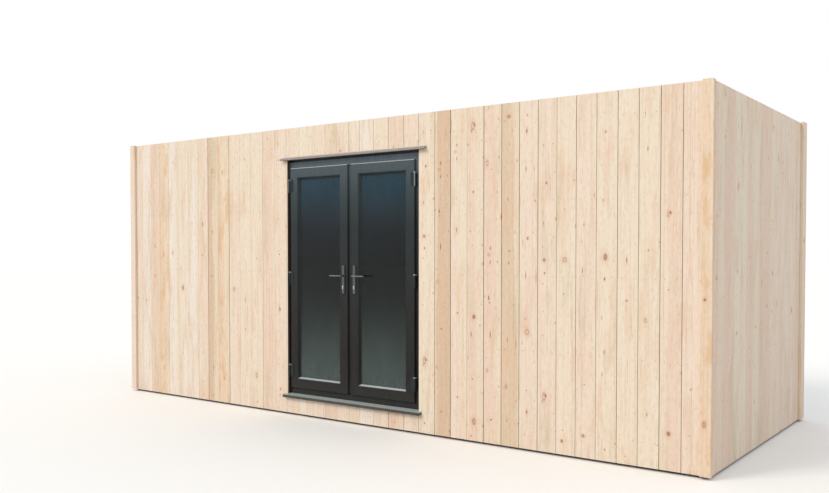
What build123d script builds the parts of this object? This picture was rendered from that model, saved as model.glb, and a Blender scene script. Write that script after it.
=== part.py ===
"""Portable cabin clad in upright larch boards, with a glazed double door.

All sizes are in millimetres. The origin is on the ground under the middle of
the plan. +X runs to the right along the front wall, the front wall faces -Y
and +Z is up.
"""

import os
from math import atan, degrees

from build123d import *

os.makedirs("parts", exist_ok=True)

# Steel frame: a base, four corner posts and a roof frame
frame_length = 6058
frame_width = 2438
ground_gap = 18
post_size = 80
steel_wall = 4
base_depth = 118
deck_thickness = 28
roof_rail_bottom = 2464
roof_rail_depth = 96
joist_width = 50
floor_joist_count = 11
roof_joist_count = 9
joist_pitch = 500
foot_size = 150
foot_corner_cut = 9

# Roof skin of trapezoidal steel sheet
sheet_thickness = 2
sheet_rib_height = 20
sheet_rib_count = 28
sheet_slope_run = 20
ceiling_thickness = 12

# Walls from the inside out: insulated panel, battens, boards, corner trims
panel_thickness = 58
batten_thickness = 22
batten_height = 45
batten_rows = [190, 745, 1300, 1855, 2420]
board_thickness = 24
board_top = 2590
trim_thickness = 22
trim_width = 74
trim_rise = 10
side_trim_width = 120
front_board_overrun = 10

# Door frame in the front wall
door_centre = -40
door_frame_width = 1500
door_frame_height = 2090
door_frame_depth = 70
frame_face = 60
frame_stop = 20
cill_thickness = 30
board_cover_left = 26
board_cover_right = 2
board_gap_top = 22

# Leaves: sash, glazing beads and glass
sash_recess = 12
sash_depth = 70
sash_flange = 17
sash_flange_step = 12
sash_face = 84
sash_overlap = 7
sash_bevel = 6
leaf_gap = 34
leaf_clearance = 5
glazing_leg = 22
glazing_leg_height = 14
glass_thickness = 24
glass_clearance = 3
bead_width = 18
bead_lip = 4
bead_set_back = 1
mullion_depth = 34
mullion_clearance = 10

# Flag hinges, three on each leaf
hinge_heights = [403, 1241, 2071]
hinge_height = 110
hinge_knuckle_radius = 6.5
hinge_knuckle_gap = 0.5
hinge_pin_radius = 3
hinge_pin_clearance = 0.2
hinge_end_knuckle = 30
hinge_cap_radius = 7.5
hinge_cap_height = 5
hinge_cap_rounding = 2
hinge_pin_outset = 8
hinge_stem_outer = 5
hinge_stem_inner = 3
hinge_flag_thickness = 3.5
hinge_flag_start = 9
hinge_flag_reach = 42

# Lever handles and lock cylinders
handle_backset = 45
lever_height = 1272
handle_plate_width = 30
handle_plate_thickness = 10
handle_plate_over_lever = 90
handle_plate_under_cylinder = 62
handle_plate_corner_radius = 7.5
handle_plate_bevel = 2.5
lever_neck_radius = 9
lever_neck_length = 14
lever_clearance = 0.25
lever_stand_off = 38
lever_bend_radius = 12.5
lever_reach = 126
lever_arm_depth = 10
lever_arm_height = 11
lever_arm_rounding = 3.5
lever_return = 14
spindle_size = 8
spindle_hole_radius = 7
cylinder_drop = 92
cylinder_radius = 8.5
cylinder_stem_radius = 5
cylinder_stem_drop = 19.5
cylinder_clearance = 0.2
cylinder_stand_out = 3
key_slot_width = 2
key_slot_height = 9
key_slot_depth = 2

# Head drip over the door and cill under it
drip_left = 65
drip_right = 77
drip_projection = 30
drip_back_height = 12
drip_lip_height = 16
drip_lip_width = 4
drip_fall = 8
drip_lift = 18
cill_horn_left = 38
cill_horn_right = 28
cill_projection = 32
cill_fall = 12
cill_nose_drop = 5
cill_nose_width = 6

# Levels and planes that follow from the sizes above
half_length = frame_length / 2
half_width = frame_width / 2
inner_half_length = half_length - post_size
inner_half_width = half_width - post_size
base_top = ground_gap + base_depth
floor_top = base_top + deck_thickness
roof_rail_top = roof_rail_bottom + roof_rail_depth
board_face_y = -(half_width + board_thickness)
side_face_x = half_length + board_thickness
front_board_end = side_face_x + front_board_overrun
trim_top = board_top + trim_rise

frame_back_y = -inner_half_width
frame_front_y = frame_back_y - door_frame_depth
frame_left = door_centre - door_frame_width / 2
frame_right = door_centre + door_frame_width / 2
frame_bottom = floor_top + cill_thickness
frame_top = frame_bottom + door_frame_height
boards_left = frame_left + board_cover_left
boards_right = frame_right - board_cover_right
boards_over = frame_top + board_gap_top

sash_front_y = board_face_y + sash_recess
sash_back_y = sash_front_y + sash_depth
flange_back_y = sash_front_y + sash_flange
sash_bottom = frame_bottom + frame_face - sash_overlap
sash_top = frame_top - frame_face + sash_overlap
sash_height = sash_top - sash_bottom
sash_middle = (sash_top + sash_bottom) / 2
sash_outer = door_frame_width / 2 - frame_face + sash_overlap
sash_width = sash_outer - leaf_gap / 2
stop_front_y = sash_back_y + leaf_clearance
glass_back_y = sash_back_y - glazing_leg
glass_front_y = glass_back_y - glass_thickness
bead_front_y = sash_front_y + bead_set_back
pane_width = sash_width - 2 * sash_face
pane_height = sash_height - 2 * sash_face

hinge_pin_x = sash_outer + hinge_pin_outset
hinge_pin_y = sash_front_y - hinge_knuckle_radius - hinge_knuckle_gap
handle_x = leaf_gap / 2 + handle_backset
handle_plate_top = lever_height + handle_plate_over_lever
handle_plate_bottom = lever_height - cylinder_drop - handle_plate_under_cylinder
plate_front_y = sash_front_y - handle_plate_thickness
sash_centre_y = (sash_front_y + sash_back_y) / 2


def keep(piece, name):
    """Name a finished piece and write its file."""
    piece.part.label = name
    export_step(piece.part, f"parts/{name}.step")


def middle(span):
    return (span[0] + span[1]) / 2


def size(span):
    return abs(span[1] - span[0])


def front_plane(y):
    """An upright plane facing the front. Extruding from it goes outward, toward -Y."""
    return Plane.XZ.offset(-y)


def slabs(name, blocks):
    """Straight blocks, each between two x, two y and two z limits."""
    with BuildPart() as piece:
        for x, y, z in blocks:
            with BuildSketch(Plane.XY.offset(min(z))):
                with Locations((middle(x), middle(y))):
                    Rectangle(size(x), size(y))
            extrude(amount=size(z))
    keep(piece, name)


def channel_section(centre, width, depth, open_side):
    """A channel whose open side looks along the sketch's first axis, to +1 or -1."""
    with Locations(centre):
        Rectangle(width, depth)
    with Locations((centre[0] + open_side * steel_wall / 2, centre[1])):
        Rectangle(width - steel_wall, depth - 2 * steel_wall, mode=Mode.SUBTRACT)


def hollow_section(centre, width, depth):
    """A rectangular hollow section around a centre."""
    with Locations(centre):
        Rectangle(width, depth)
        Rectangle(width - 2 * steel_wall, depth - 2 * steel_wall, mode=Mode.SUBTRACT)


def base_rails():
    """Channels round the base, open inward, cut between the corner posts."""
    level = ground_gap + base_depth / 2
    with BuildPart() as rails:
        for side in (-1, 1):
            with BuildSketch(Plane.YZ.offset(-inner_half_length)):
                channel_section((side * (half_width - post_size / 2), level), post_size, base_depth, -side)
            extrude(amount=2 * inner_half_length)
            with BuildSketch(front_plane(inner_half_width)):
                channel_section((side * (half_length - post_size / 2), level), post_size, base_depth, -side)
            extrude(amount=2 * inner_half_width)
    keep(rails, "base_rails")


def floor_joists():
    """Channels across the base, held between the flanges of the long rails."""
    level = ground_gap + base_depth / 2
    reach = half_width - steel_wall
    with BuildPart() as joists:
        with BuildSketch(front_plane(reach)):
            for number in range(floor_joist_count):
                x = (number - (floor_joist_count - 1) / 2) * joist_pitch
                channel_section((x, level), joist_width, base_depth - 2 * steel_wall, 1)
        extrude(amount=2 * reach)
    keep(joists, "floor_joists")


def feet():
    """Six bearing pads, under the corners and the middles of the long rails."""
    x_feet = half_length - foot_size / 2
    y_feet = half_width - foot_size / 2
    with BuildPart() as pads:
        with BuildSketch():
            with Locations(*[(x, y) for x in (-x_feet, 0, x_feet) for y in (-y_feet, y_feet)]):
                Rectangle(foot_size, foot_size)
        extrude(amount=ground_gap)
        chamfer(pads.edges().filter_by(Axis.Z), length=foot_corner_cut)
    keep(pads, "feet")


def floor_deck():
    """Plywood deck over the base frame, notched round the corner posts."""
    with BuildPart() as deck:
        with BuildSketch(Plane.XY.offset(base_top)):
            Rectangle(frame_length, frame_width)
            with GridLocations(frame_length - post_size, frame_width - post_size, 2, 2):
                Rectangle(post_size, post_size, mode=Mode.SUBTRACT)
        extrude(amount=deck_thickness)
    keep(deck, "floor_deck")


def corner_posts():
    """Four square hollow posts from the base to the top of the roof rails."""
    with BuildPart() as posts:
        with BuildSketch(Plane.XY.offset(ground_gap)):
            with GridLocations(frame_length - post_size, frame_width - post_size, 2, 2):
                Rectangle(post_size, post_size)
                Rectangle(post_size - 2 * steel_wall, post_size - 2 * steel_wall, mode=Mode.SUBTRACT)
        extrude(amount=roof_rail_top - ground_gap)
    keep(posts, "corner_posts")


def roof_rails():
    """Hollow rails round the top, cut between the corner posts."""
    level = roof_rail_bottom + roof_rail_depth / 2
    with BuildPart() as rails:
        for side in (-1, 1):
            with BuildSketch(Plane.YZ.offset(-inner_half_length)):
                hollow_section((side * (half_width - post_size / 2), level), post_size, roof_rail_depth)
            extrude(amount=2 * inner_half_length)
            with BuildSketch(front_plane(inner_half_width)):
                hollow_section((side * (half_length - post_size / 2), level), post_size, roof_rail_depth)
            extrude(amount=2 * inner_half_width)
    keep(rails, "roof_rails")


def roof_joists():
    """Channels between the long roof rails."""
    level = roof_rail_bottom + roof_rail_depth / 2
    pitch = 2 * inner_half_length / (roof_joist_count + 1)
    with BuildPart() as joists:
        with BuildSketch(front_plane(inner_half_width)):
            for number in range(roof_joist_count):
                x = (number - (roof_joist_count - 1) / 2) * pitch
                channel_section((x, level), joist_width, roof_rail_depth, 1)
        extrude(amount=2 * inner_half_width)
    keep(joists, "roof_joists")


def roof_sheet():
    """Trapezoidal sheet whose ribs run from front to rear over the roof frame."""
    pitch = frame_length / sheet_rib_count
    quarter = pitch / 4
    low = roof_rail_top
    high = roof_rail_top + sheet_rib_height
    underside = []
    for number in range(sheet_rib_count):
        start = -half_length + number * pitch
        valley_end = start + quarter
        crest_start = valley_end + sheet_slope_run
        crest_end = start + 3 * quarter
        underside += [(start, low), (valley_end, low), (crest_start, high)]
        underside += [(crest_end, high), (crest_end + sheet_slope_run, low)]
    underside.append((half_length, low))
    topside = [(x, z + sheet_thickness) for x, z in reversed(underside)]
    with BuildPart() as sheet:
        with BuildSketch(front_plane(half_width)):
            with BuildLine():
                Polyline(*underside, *topside, close=True)
            make_face()
        extrude(amount=frame_width)
    keep(sheet, "roof_sheet")


def walls():
    """Insulated wall panels, whole at the rear and the ends, split round the doorway."""
    front = (-(inner_half_width + panel_thickness), -inner_half_width)
    rear = (inner_half_width, inner_half_width + panel_thickness)
    upright = (floor_top, roof_rail_bottom)
    left_part = (-inner_half_length, frame_left)
    right_part = (frame_right, inner_half_length)
    slabs("wall_front_left", [(left_part, front, upright)])
    slabs("wall_front_right", [(right_part, front, upright)])
    slabs("wall_over_door", [((frame_left, frame_right), front, (frame_top, roof_rail_bottom))])
    slabs("wall_rear", [((-inner_half_length, inner_half_length), rear, upright)])
    left_end = (-(inner_half_length + panel_thickness), -inner_half_length)
    right_end = (inner_half_length, inner_half_length + panel_thickness)
    slabs("wall_left_end", [(left_end, (-inner_half_width, inner_half_width), upright)])
    slabs("wall_right_end", [(right_end, (-inner_half_width, inner_half_width), upright)])


def ceiling_lining():
    """Ceiling board under the roof joists, between the walls."""
    across = (-inner_half_width, inner_half_width)
    along = (-inner_half_length, inner_half_length)
    slabs("ceiling_lining", [(along, across, (roof_rail_bottom - ceiling_thickness, roof_rail_bottom))])


def battens():
    """Level battens on the wall panels, flush with the steel, which carry the boards."""
    panel_y = inner_half_width + panel_thickness
    panel_x = inner_half_length + panel_thickness
    rows = []
    for row in batten_rows:
        upright = (row - batten_height / 2, row + batten_height / 2)
        clear_of_door = row - batten_height / 2 > frame_top
        front = (-half_width, -panel_y)
        if clear_of_door:
            rows.append(((-inner_half_length, inner_half_length), front, upright))
        else:
            rows.append(((-inner_half_length, frame_left), front, upright))
            rows.append(((frame_right, inner_half_length), front, upright))
        rows.append(((-inner_half_length, inner_half_length), (panel_y, half_width), upright))
        across = (-inner_half_width, inner_half_width)
        rows.append(((-half_length, -panel_x), across, upright))
        rows.append(((panel_x, half_length), across, upright))
    slabs("battens", rows)


def cladding():
    """Upright boards, drawn here as one slab for each run of boards."""
    front = (board_face_y, -half_width)
    rear = (half_width, half_width + board_thickness)
    full = (ground_gap, board_top)
    slabs("cladding_front_left", [((-front_board_end, boards_left), front, full)])
    slabs("cladding_front_right", [((boards_right, front_board_end), front, full)])
    slabs("cladding_over_door", [((boards_left, boards_right), front, (boards_over, board_top))])
    slabs("cladding_under_door", [((boards_left, boards_right), front, (ground_gap, floor_top))])
    slabs("cladding_rear", [((-side_face_x, side_face_x), rear, full)])
    across = (-half_width, half_width)
    slabs("cladding_left_end", [((-side_face_x, -half_length), across, full)])
    slabs("cladding_right_end", [((half_length, side_face_x), across, full)])


def corner_trims():
    """Upright trim boards that cover the corners, a little higher than the boards."""
    upright = (ground_gap, trim_top)
    front = (board_face_y - trim_thickness, board_face_y)
    rear_face = half_width + board_thickness
    rear = (rear_face, rear_face + trim_thickness)
    side_strip = (rear_face + trim_thickness - side_trim_width, rear_face + trim_thickness)
    front_blocks = []
    rear_blocks = []
    for side in (-1, 1):
        front_blocks.append(((side * front_board_end, side * (front_board_end - trim_width)), front, upright))
        rear_blocks.append(((side * side_face_x, side * (side_face_x - trim_width)), rear, upright))
        rear_blocks.append(((side * side_face_x, side * (side_face_x + trim_thickness)), side_strip, upright))
    slabs("corner_trims_front", front_blocks)
    slabs("corner_trims_rear", rear_blocks)


def mitred_outline(width, first_corner):
    """Corners of one side of the door frame's face, cut at 45 degrees at both ends."""
    outer = [
        (frame_left, frame_bottom),
        (frame_right, frame_bottom),
        (frame_right, frame_top),
        (frame_left, frame_top),
    ]
    inner = [
        (frame_left + width, frame_bottom + width),
        (frame_right - width, frame_bottom + width),
        (frame_right - width, frame_top - width),
        (frame_left + width, frame_top - width),
    ]
    second_corner = (first_corner + 1) % len(outer)
    return outer[first_corner], outer[second_corner], inner[second_corner], inner[first_corner]


def door_frame():
    """Four mitred bars. The back of each steps in as a stop behind the leaves."""
    names = ["door_frame_sill", "door_frame_right_jamb", "door_frame_head", "door_frame_left_jamb"]
    for first_corner, name in enumerate(names):
        with BuildPart() as bar:
            with BuildSketch(front_plane(frame_back_y)):
                with BuildLine():
                    Polyline(*mitred_outline(frame_face + frame_stop, first_corner), close=True)
                make_face()
            extrude(amount=frame_back_y - stop_front_y)
            with BuildSketch(front_plane(stop_front_y)):
                with BuildLine():
                    Polyline(*mitred_outline(frame_face, first_corner), close=True)
                make_face()
            extrude(amount=stop_front_y - frame_front_y)
        keep(bar, name)


def head_drip():
    """Drip strip over the door: it falls forward and ends in a lip."""
    front_y = board_face_y - drip_projection
    top = boards_over + drip_lift
    lip_bottom = top - drip_fall - drip_lip_height
    with BuildPart() as drip:
        with BuildSketch(Plane.YZ.offset(boards_left - drip_left)):
            with BuildLine():
                Polyline(
                    (board_face_y, top),
                    (front_y, top - drip_fall),
                    (front_y, lip_bottom),
                    (front_y + drip_lip_width, lip_bottom),
                    (front_y + 2 * drip_lip_width, top - drip_back_height),
                    (board_face_y, top - drip_back_height),
                    close=True,
                )
            make_face()
        extrude(amount=boards_right - boards_left + drip_left + drip_right)
    keep(drip, "head_drip")


def cill():
    """Cill under the door frame. It falls forward to a nose with horns past the boards."""
    nose_y = board_face_y - cill_projection
    left = boards_left - cill_horn_left
    right = boards_right + cill_horn_right
    with BuildPart() as piece:
        with BuildSketch(Plane.YZ.offset(left)):
            with BuildLine():
                Polyline(
                    (frame_back_y, floor_top),
                    (frame_back_y, frame_bottom),
                    (frame_front_y, frame_bottom),
                    (nose_y, frame_bottom - cill_fall),
                    (nose_y, floor_top - cill_nose_drop),
                    (nose_y + cill_nose_width, floor_top - cill_nose_drop),
                    (nose_y + 2 * cill_nose_width, floor_top),
                    close=True,
                )
            make_face()
        extrude(amount=right - left)
        for outer, frame_edge, board_edge in ((left, frame_left, boards_left), (right, frame_right, boards_right)):
            with BuildSketch(Plane.XY.offset(floor_top)):
                with Locations((middle((outer, board_edge)), (board_face_y - half_width) / 2)):
                    Rectangle(size((outer, board_edge)), board_thickness)
                wall_depth = half_width - inner_half_width
                with Locations((middle((outer, frame_edge)), -half_width + wall_depth / 2)):
                    Rectangle(size((outer, frame_edge)), wall_depth)
            extrude(amount=cill_thickness, mode=Mode.SUBTRACT)
    keep(piece, "cill")


def euro_profile(centre_x, clearance, mode):
    """The keyhole outline of a lock cylinder, on a plane that faces the front."""
    height = lever_height - cylinder_drop
    stem_width = 2 * (cylinder_stem_radius + clearance)
    with Locations((centre_x, height)):
        Circle(cylinder_radius + clearance, mode=mode)
    with Locations((centre_x, height - cylinder_stem_drop / 2)):
        Rectangle(stem_width, cylinder_stem_drop, mode=mode)
    with Locations((centre_x, height - cylinder_stem_drop)):
        Circle(cylinder_stem_radius + clearance, mode=mode)


def sash(name, side):
    """Door leaf profile: a flange that laps the frame, a body in it and a glazing leg."""
    centre = (door_centre + side * (sash_outer + leaf_gap / 2) / 2, sash_middle)
    handle_centre = door_centre + side * handle_x
    with BuildPart() as piece:
        with BuildSketch(front_plane(sash_back_y)):
            with Locations(centre):
                Rectangle(sash_width - 2 * sash_flange_step, sash_height - 2 * sash_flange_step)
        extrude(amount=sash_back_y - flange_back_y)
        with BuildSketch(front_plane(flange_back_y)):
            with Locations(centre):
                Rectangle(sash_width, sash_height)
        extrude(amount=sash_flange)
        chamfer(piece.faces().sort_by(Axis.Y)[0].edges(), length=sash_bevel)
        with BuildSketch(front_plane(sash_back_y)):
            with Locations(centre):
                Rectangle(pane_width - 2 * glazing_leg_height, pane_height - 2 * glazing_leg_height)
        extrude(amount=glazing_leg, mode=Mode.SUBTRACT)
        with BuildSketch(front_plane(glass_back_y)):
            with Locations(centre):
                Rectangle(pane_width, pane_height)
        extrude(amount=glass_back_y - sash_front_y, mode=Mode.SUBTRACT)
        with BuildSketch(front_plane(sash_back_y)):
            with Locations((handle_centre, lever_height)):
                Circle(spindle_hole_radius)
            euro_profile(handle_centre, cylinder_clearance, Mode.ADD)
        extrude(amount=sash_depth, mode=Mode.SUBTRACT)
    keep(piece, name)


def glazing_beads(name, side):
    """Bead round the glass, bevelled from the sash face down to the glass."""
    centre = (door_centre + side * (sash_outer + leaf_gap / 2) / 2, sash_middle)
    bead_depth = glass_front_y - bead_front_y
    bevel = degrees(atan((bead_width - bead_lip) / bead_depth))
    with BuildPart() as piece:
        with BuildSketch(front_plane(glass_front_y)):
            with Locations(centre):
                Rectangle(pane_width, pane_height)
        extrude(amount=bead_depth)
        with BuildSketch(front_plane(bead_front_y)):
            with Locations(centre):
                Rectangle(pane_width - 2 * bead_lip, pane_height - 2 * bead_lip)
        extrude(amount=-bead_depth, taper=bevel, mode=Mode.SUBTRACT)
    keep(piece, name)


def glass(name, side):
    """Sealed double glazing, seated on the glazing leg behind the beads."""
    centre = (door_centre + side * (sash_outer + leaf_gap / 2) / 2, sash_middle)
    with BuildPart() as piece:
        with BuildSketch(front_plane(glass_back_y)):
            with Locations(centre):
                Rectangle(pane_width - 2 * glass_clearance, pane_height - 2 * glass_clearance)
        extrude(amount=glass_thickness)
    keep(piece, name)


def floating_mullion():
    """Upright strip on the left leaf that fills the gap where the leaves meet."""
    x = (door_centre - leaf_gap / 2 - sash_flange_step, door_centre + leaf_gap / 2 - mullion_clearance)
    y = (flange_back_y, flange_back_y + mullion_depth)
    z = (sash_bottom + sash_flange_step, sash_top - sash_flange_step)
    slabs("floating_mullion", [(x, y, z)])


def hinge_seats(name, side):
    """Frame halves of the flag hinges: a stem, two knuckles, the pin and its rounded caps."""
    pin_x = door_centre + side * hinge_pin_x
    stem = (pin_x + side * hinge_stem_outer, pin_x - side * hinge_stem_inner)
    stem_front = hinge_pin_y + hinge_knuckle_radius + hinge_flag_thickness
    with BuildPart() as cap:
        with Locations((pin_x, hinge_pin_y, -hinge_height / 2)):
            Cylinder(hinge_cap_radius, hinge_cap_height, align=(Align.CENTER, Align.CENTER, Align.MAX))
        fillet(cap.edges().sort_by(Axis.Z)[0], radius=hinge_cap_rounding)
        mirror(about=Plane.XY)
    with BuildPart() as piece:
        for height in hinge_heights:
            with Locations((0, 0, height)):
                add(cap.part)
            bottom = height - hinge_height / 2
            with BuildSketch(Plane.XY.offset(bottom)):
                with Locations((middle(stem), middle((frame_front_y, stem_front)))):
                    Rectangle(size(stem), frame_front_y - stem_front)
                with Locations((pin_x, hinge_pin_y)):
                    Circle(hinge_pin_radius)
            extrude(amount=hinge_height)
            for knuckle_bottom in (bottom, bottom + hinge_height - hinge_end_knuckle):
                with BuildSketch(Plane.XY.offset(knuckle_bottom)):
                    with Locations((pin_x, hinge_pin_y)):
                        Circle(hinge_knuckle_radius)
                    with Locations((middle(stem), middle((stem_front, hinge_pin_y)))):
                        Rectangle(size(stem), stem_front - hinge_pin_y)
                extrude(amount=hinge_end_knuckle)
    keep(piece, name)


def hinge_flags(name, side):
    """Leaf halves of the flag hinges: a middle knuckle and a plate on the sash face."""
    pin_x = door_centre + side * hinge_pin_x
    flag = (pin_x - side * hinge_flag_start, pin_x - side * hinge_flag_reach)
    web = (pin_x, pin_x - side * hinge_flag_start)
    plate_y = sash_front_y - hinge_flag_thickness / 2
    knuckle_height = hinge_height - 2 * hinge_end_knuckle - 2 * hinge_pin_clearance
    with BuildPart() as piece:
        for height in hinge_heights:
            with BuildSketch(Plane.XY.offset(height - hinge_height / 2)):
                with Locations((middle(flag), plate_y)):
                    Rectangle(size(flag), hinge_flag_thickness)
            extrude(amount=hinge_height)
            with BuildSketch(Plane.XY.offset(height - knuckle_height / 2)):
                with Locations((pin_x, hinge_pin_y)):
                    Circle(hinge_knuckle_radius)
                with Locations((middle(web), plate_y)):
                    Rectangle(size(web), hinge_flag_thickness)
            extrude(amount=knuckle_height)
            with BuildSketch(Plane.XY.offset(height - knuckle_height / 2)):
                with Locations((pin_x, hinge_pin_y)):
                    Circle(hinge_pin_radius + hinge_pin_clearance)
            extrude(amount=knuckle_height, mode=Mode.SUBTRACT)
    keep(piece, name)


def handle_plates(name, side):
    """Long back plates outside and inside, bored for the lever and the cylinder."""
    x = door_centre + side * handle_x
    upright = (handle_plate_bottom, handle_plate_top)
    with BuildPart() as piece:
        with BuildSketch(front_plane(sash_front_y)):
            with Locations((x, middle(upright))):
                RectangleRounded(handle_plate_width, size(upright), handle_plate_corner_radius)
            with Locations((x, lever_height)):
                Circle(lever_neck_radius + lever_clearance, mode=Mode.SUBTRACT)
            euro_profile(x, cylinder_clearance, Mode.SUBTRACT)
        extrude(amount=handle_plate_thickness)
        front_face = piece.faces().sort_by(Axis.Y)[0]
        chamfer(front_face.outer_wire().edges(), length=handle_plate_bevel)
        mirror(about=Plane.XZ.offset(-sash_centre_y))
    keep(piece, name)


def lever(name, side):
    """Lever outside and inside, joined by the square spindle through the sash."""
    x = door_centre + side * handle_x
    arm_y = plate_front_y - lever_stand_off
    tip_x = x + side * lever_reach
    route = [
        (x, plate_front_y - lever_neck_length / 2),
        (x, arm_y),
        (tip_x, arm_y),
        (tip_x, arm_y + lever_return),
    ]
    neck_start = sash_front_y - lever_clearance
    with BuildPart() as piece:
        with BuildSketch(front_plane(neck_start)):
            with Locations((x, lever_height)):
                Circle(lever_neck_radius)
        extrude(amount=neck_start - plate_front_y + lever_neck_length)
        with BuildLine(Plane.XY.offset(lever_height)) as path:
            FilletPolyline(*route, radius=lever_bend_radius)
        with BuildSketch(Plane(origin=path.line @ 0, x_dir=(1, 0, 0), z_dir=path.line % 0)):
            RectangleRounded(lever_arm_depth, lever_arm_height, lever_arm_rounding)
        sweep()
        mirror(about=Plane.XZ.offset(-sash_centre_y))
        with BuildSketch(front_plane(sash_back_y + lever_clearance)):
            with Locations((x, lever_height)):
                Rectangle(spindle_size, spindle_size)
        extrude(amount=sash_depth + 2 * lever_clearance)
    keep(piece, name)


def cylinder(name, side):
    """Lock cylinder through the sash and both plates, with a key slot at each end."""
    x = door_centre + side * handle_x
    inner_end = sash_back_y + handle_plate_thickness + cylinder_stand_out
    outer_end = plate_front_y - cylinder_stand_out
    with BuildPart() as piece:
        with BuildSketch(front_plane(inner_end)):
            euro_profile(x, 0, Mode.ADD)
        extrude(amount=inner_end - outer_end)
        with BuildSketch(front_plane(outer_end + key_slot_depth)):
            with Locations((x, lever_height - cylinder_drop)):
                Rectangle(key_slot_width, key_slot_height)
        extrude(amount=key_slot_depth, mode=Mode.SUBTRACT)
        with BuildSketch(front_plane(inner_end)):
            with Locations((x, lever_height - cylinder_drop)):
                Rectangle(key_slot_width, key_slot_height)
        extrude(amount=key_slot_depth, mode=Mode.SUBTRACT)
    keep(piece, name)


base_rails()
floor_joists()
feet()
floor_deck()
corner_posts()
roof_rails()
roof_joists()
roof_sheet()
ceiling_lining()
walls()
battens()
cladding()
corner_trims()
door_frame()
head_drip()
cill()
floating_mullion()
for word, hand in (("left", -1), ("right", 1)):
    sash(f"{word}_sash", hand)
    glazing_beads(f"{word}_glazing_beads", hand)
    glass(f"{word}_glass", hand)
    hinge_seats(f"{word}_hinge_seats", hand)
    hinge_flags(f"{word}_hinge_flags", hand)
    handle_plates(f"{word}_handle_plates", hand)
    lever(f"{word}_lever", hand)
    cylinder(f"{word}_cylinder", hand)
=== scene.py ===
# %% [markdown]
# # A portable cabin clad in larch
# The steel frame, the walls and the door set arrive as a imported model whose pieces
# sit at their real size. Blender's part is the looks: the boards, the small fixings
# and the finish of every surface. Nothing that arrives is moved. A plain slab that
# stands for a run of boards is hidden, and real boards take its place.

from math import cos, pi, radians, sin

import bmesh
import bpy
import numpy as np
from mathutils import Matrix, Vector


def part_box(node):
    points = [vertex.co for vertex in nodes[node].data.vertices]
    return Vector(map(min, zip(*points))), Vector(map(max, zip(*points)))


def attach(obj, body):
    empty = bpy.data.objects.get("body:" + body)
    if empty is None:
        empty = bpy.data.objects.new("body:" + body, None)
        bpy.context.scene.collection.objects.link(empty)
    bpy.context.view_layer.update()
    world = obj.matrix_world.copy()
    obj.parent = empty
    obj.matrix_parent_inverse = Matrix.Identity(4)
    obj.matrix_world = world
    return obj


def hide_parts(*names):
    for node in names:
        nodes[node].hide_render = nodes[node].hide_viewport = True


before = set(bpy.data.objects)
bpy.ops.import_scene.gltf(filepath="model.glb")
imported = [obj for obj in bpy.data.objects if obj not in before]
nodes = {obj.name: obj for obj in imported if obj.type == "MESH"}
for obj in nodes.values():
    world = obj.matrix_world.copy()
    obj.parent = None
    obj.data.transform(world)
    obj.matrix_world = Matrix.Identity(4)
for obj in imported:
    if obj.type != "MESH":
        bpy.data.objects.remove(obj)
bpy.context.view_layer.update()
MM = 0.001
print("nodes in the model:", len(nodes))

# %% [markdown]
# ## Small helpers
# A listed colour is an sRGB value, but a shader works in linear light, so one
# function turns a hex value into linear numbers. Another adds a node, sets its
# properties and fills its inputs, because a material is easier to read as a list
# of such steps than as dozens of separate lines.

# %% Colour and node helpers
def hex_colour(text):
    """Turn an sRGB hex value into linear red, green, blue and alpha."""
    channels = [int(text[i:i + 2], 16) / 255 for i in (1, 3, 5)]
    linear = [c / 12.92 if c <= 0.04045 else ((c + 0.055) / 1.055) ** 2.4 for c in channels]
    return (*linear, 1.0)


def add(tree, kind, inputs=None, **settings):
    """Add a node. Each input gets a value, or a link where the value is a socket."""
    node = tree.nodes.new(kind)
    for name, value in settings.items():
        setattr(node, name, value)
    for socket, value in (inputs or {}).items():
        if isinstance(value, bpy.types.NodeSocket):
            tree.links.new(value, node.inputs[socket])
        else:
            node.inputs[socket].default_value = value
    return node


def set_stops(ramp, stops):
    """Give a colour ramp its stops, each a position and a hex value, in rising order."""
    elements = ramp.color_ramp.elements
    while len(elements) < len(stops):
        elements.new(1.0)
    for element, (position, value) in zip(elements, stops):
        element.position = position
        element.color = hex_colour(value)


def new_material(name, **shader_inputs):
    """An empty material with a Principled shader, and its tree and shader to add to."""
    material = bpy.data.materials.new(name)
    material.use_nodes = True
    tree = material.node_tree
    shader = tree.nodes["Principled BSDF"]
    for socket, value in shader_inputs.items():
        shader.inputs[socket.replace("_", " ")].default_value = value
    return material, tree, shader


# %% [markdown]
# ## Camera
# The camera stands where the photographer stood: off the right-hand corner, at eye
# height, turned toward the door. The lens is given in millimetres on the usual 36 mm
# sensor. The camera tilts down by only a degree and a half, and a small upward shift of
# the lens frames the rest, so upright edges stay nearly upright.

# %% Place the camera
EYE = (4.829, -6.873, 1.493)
TURN_LEFT = radians(36.47)
TILT_DOWN = radians(1.50)
FOCAL_LENGTH, SENSOR_WIDTH = 37.6, 36
SHIFT_UP = 0.0318
camera_data = bpy.data.cameras.new("camera")
camera_data.sensor_width = SENSOR_WIDTH
camera_data.lens = FOCAL_LENGTH
camera_data.shift_y = SHIFT_UP
camera = bpy.data.objects.new("camera", camera_data)
camera.location = EYE
camera.rotation_euler = (pi / 2 - TILT_DOWN, 0, TURN_LEFT)
bpy.context.scene.collection.objects.link(camera)
bpy.context.scene.camera = camera
print("camera at", EYE)

# %% [markdown]
# ## Floor, sky and sun
# The cabin was photographed under a bright, slightly hazy sky. A sky that is brighter
# overhead than at the horizon does most of the work, and one large soft sun from the
# front left makes the long wall brighter than the end wall. The camera, glossy rays
# and transmitted rays see a white background instead, which the Light Path node picks
# out, so the background costs the cabin no extra light.

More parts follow.
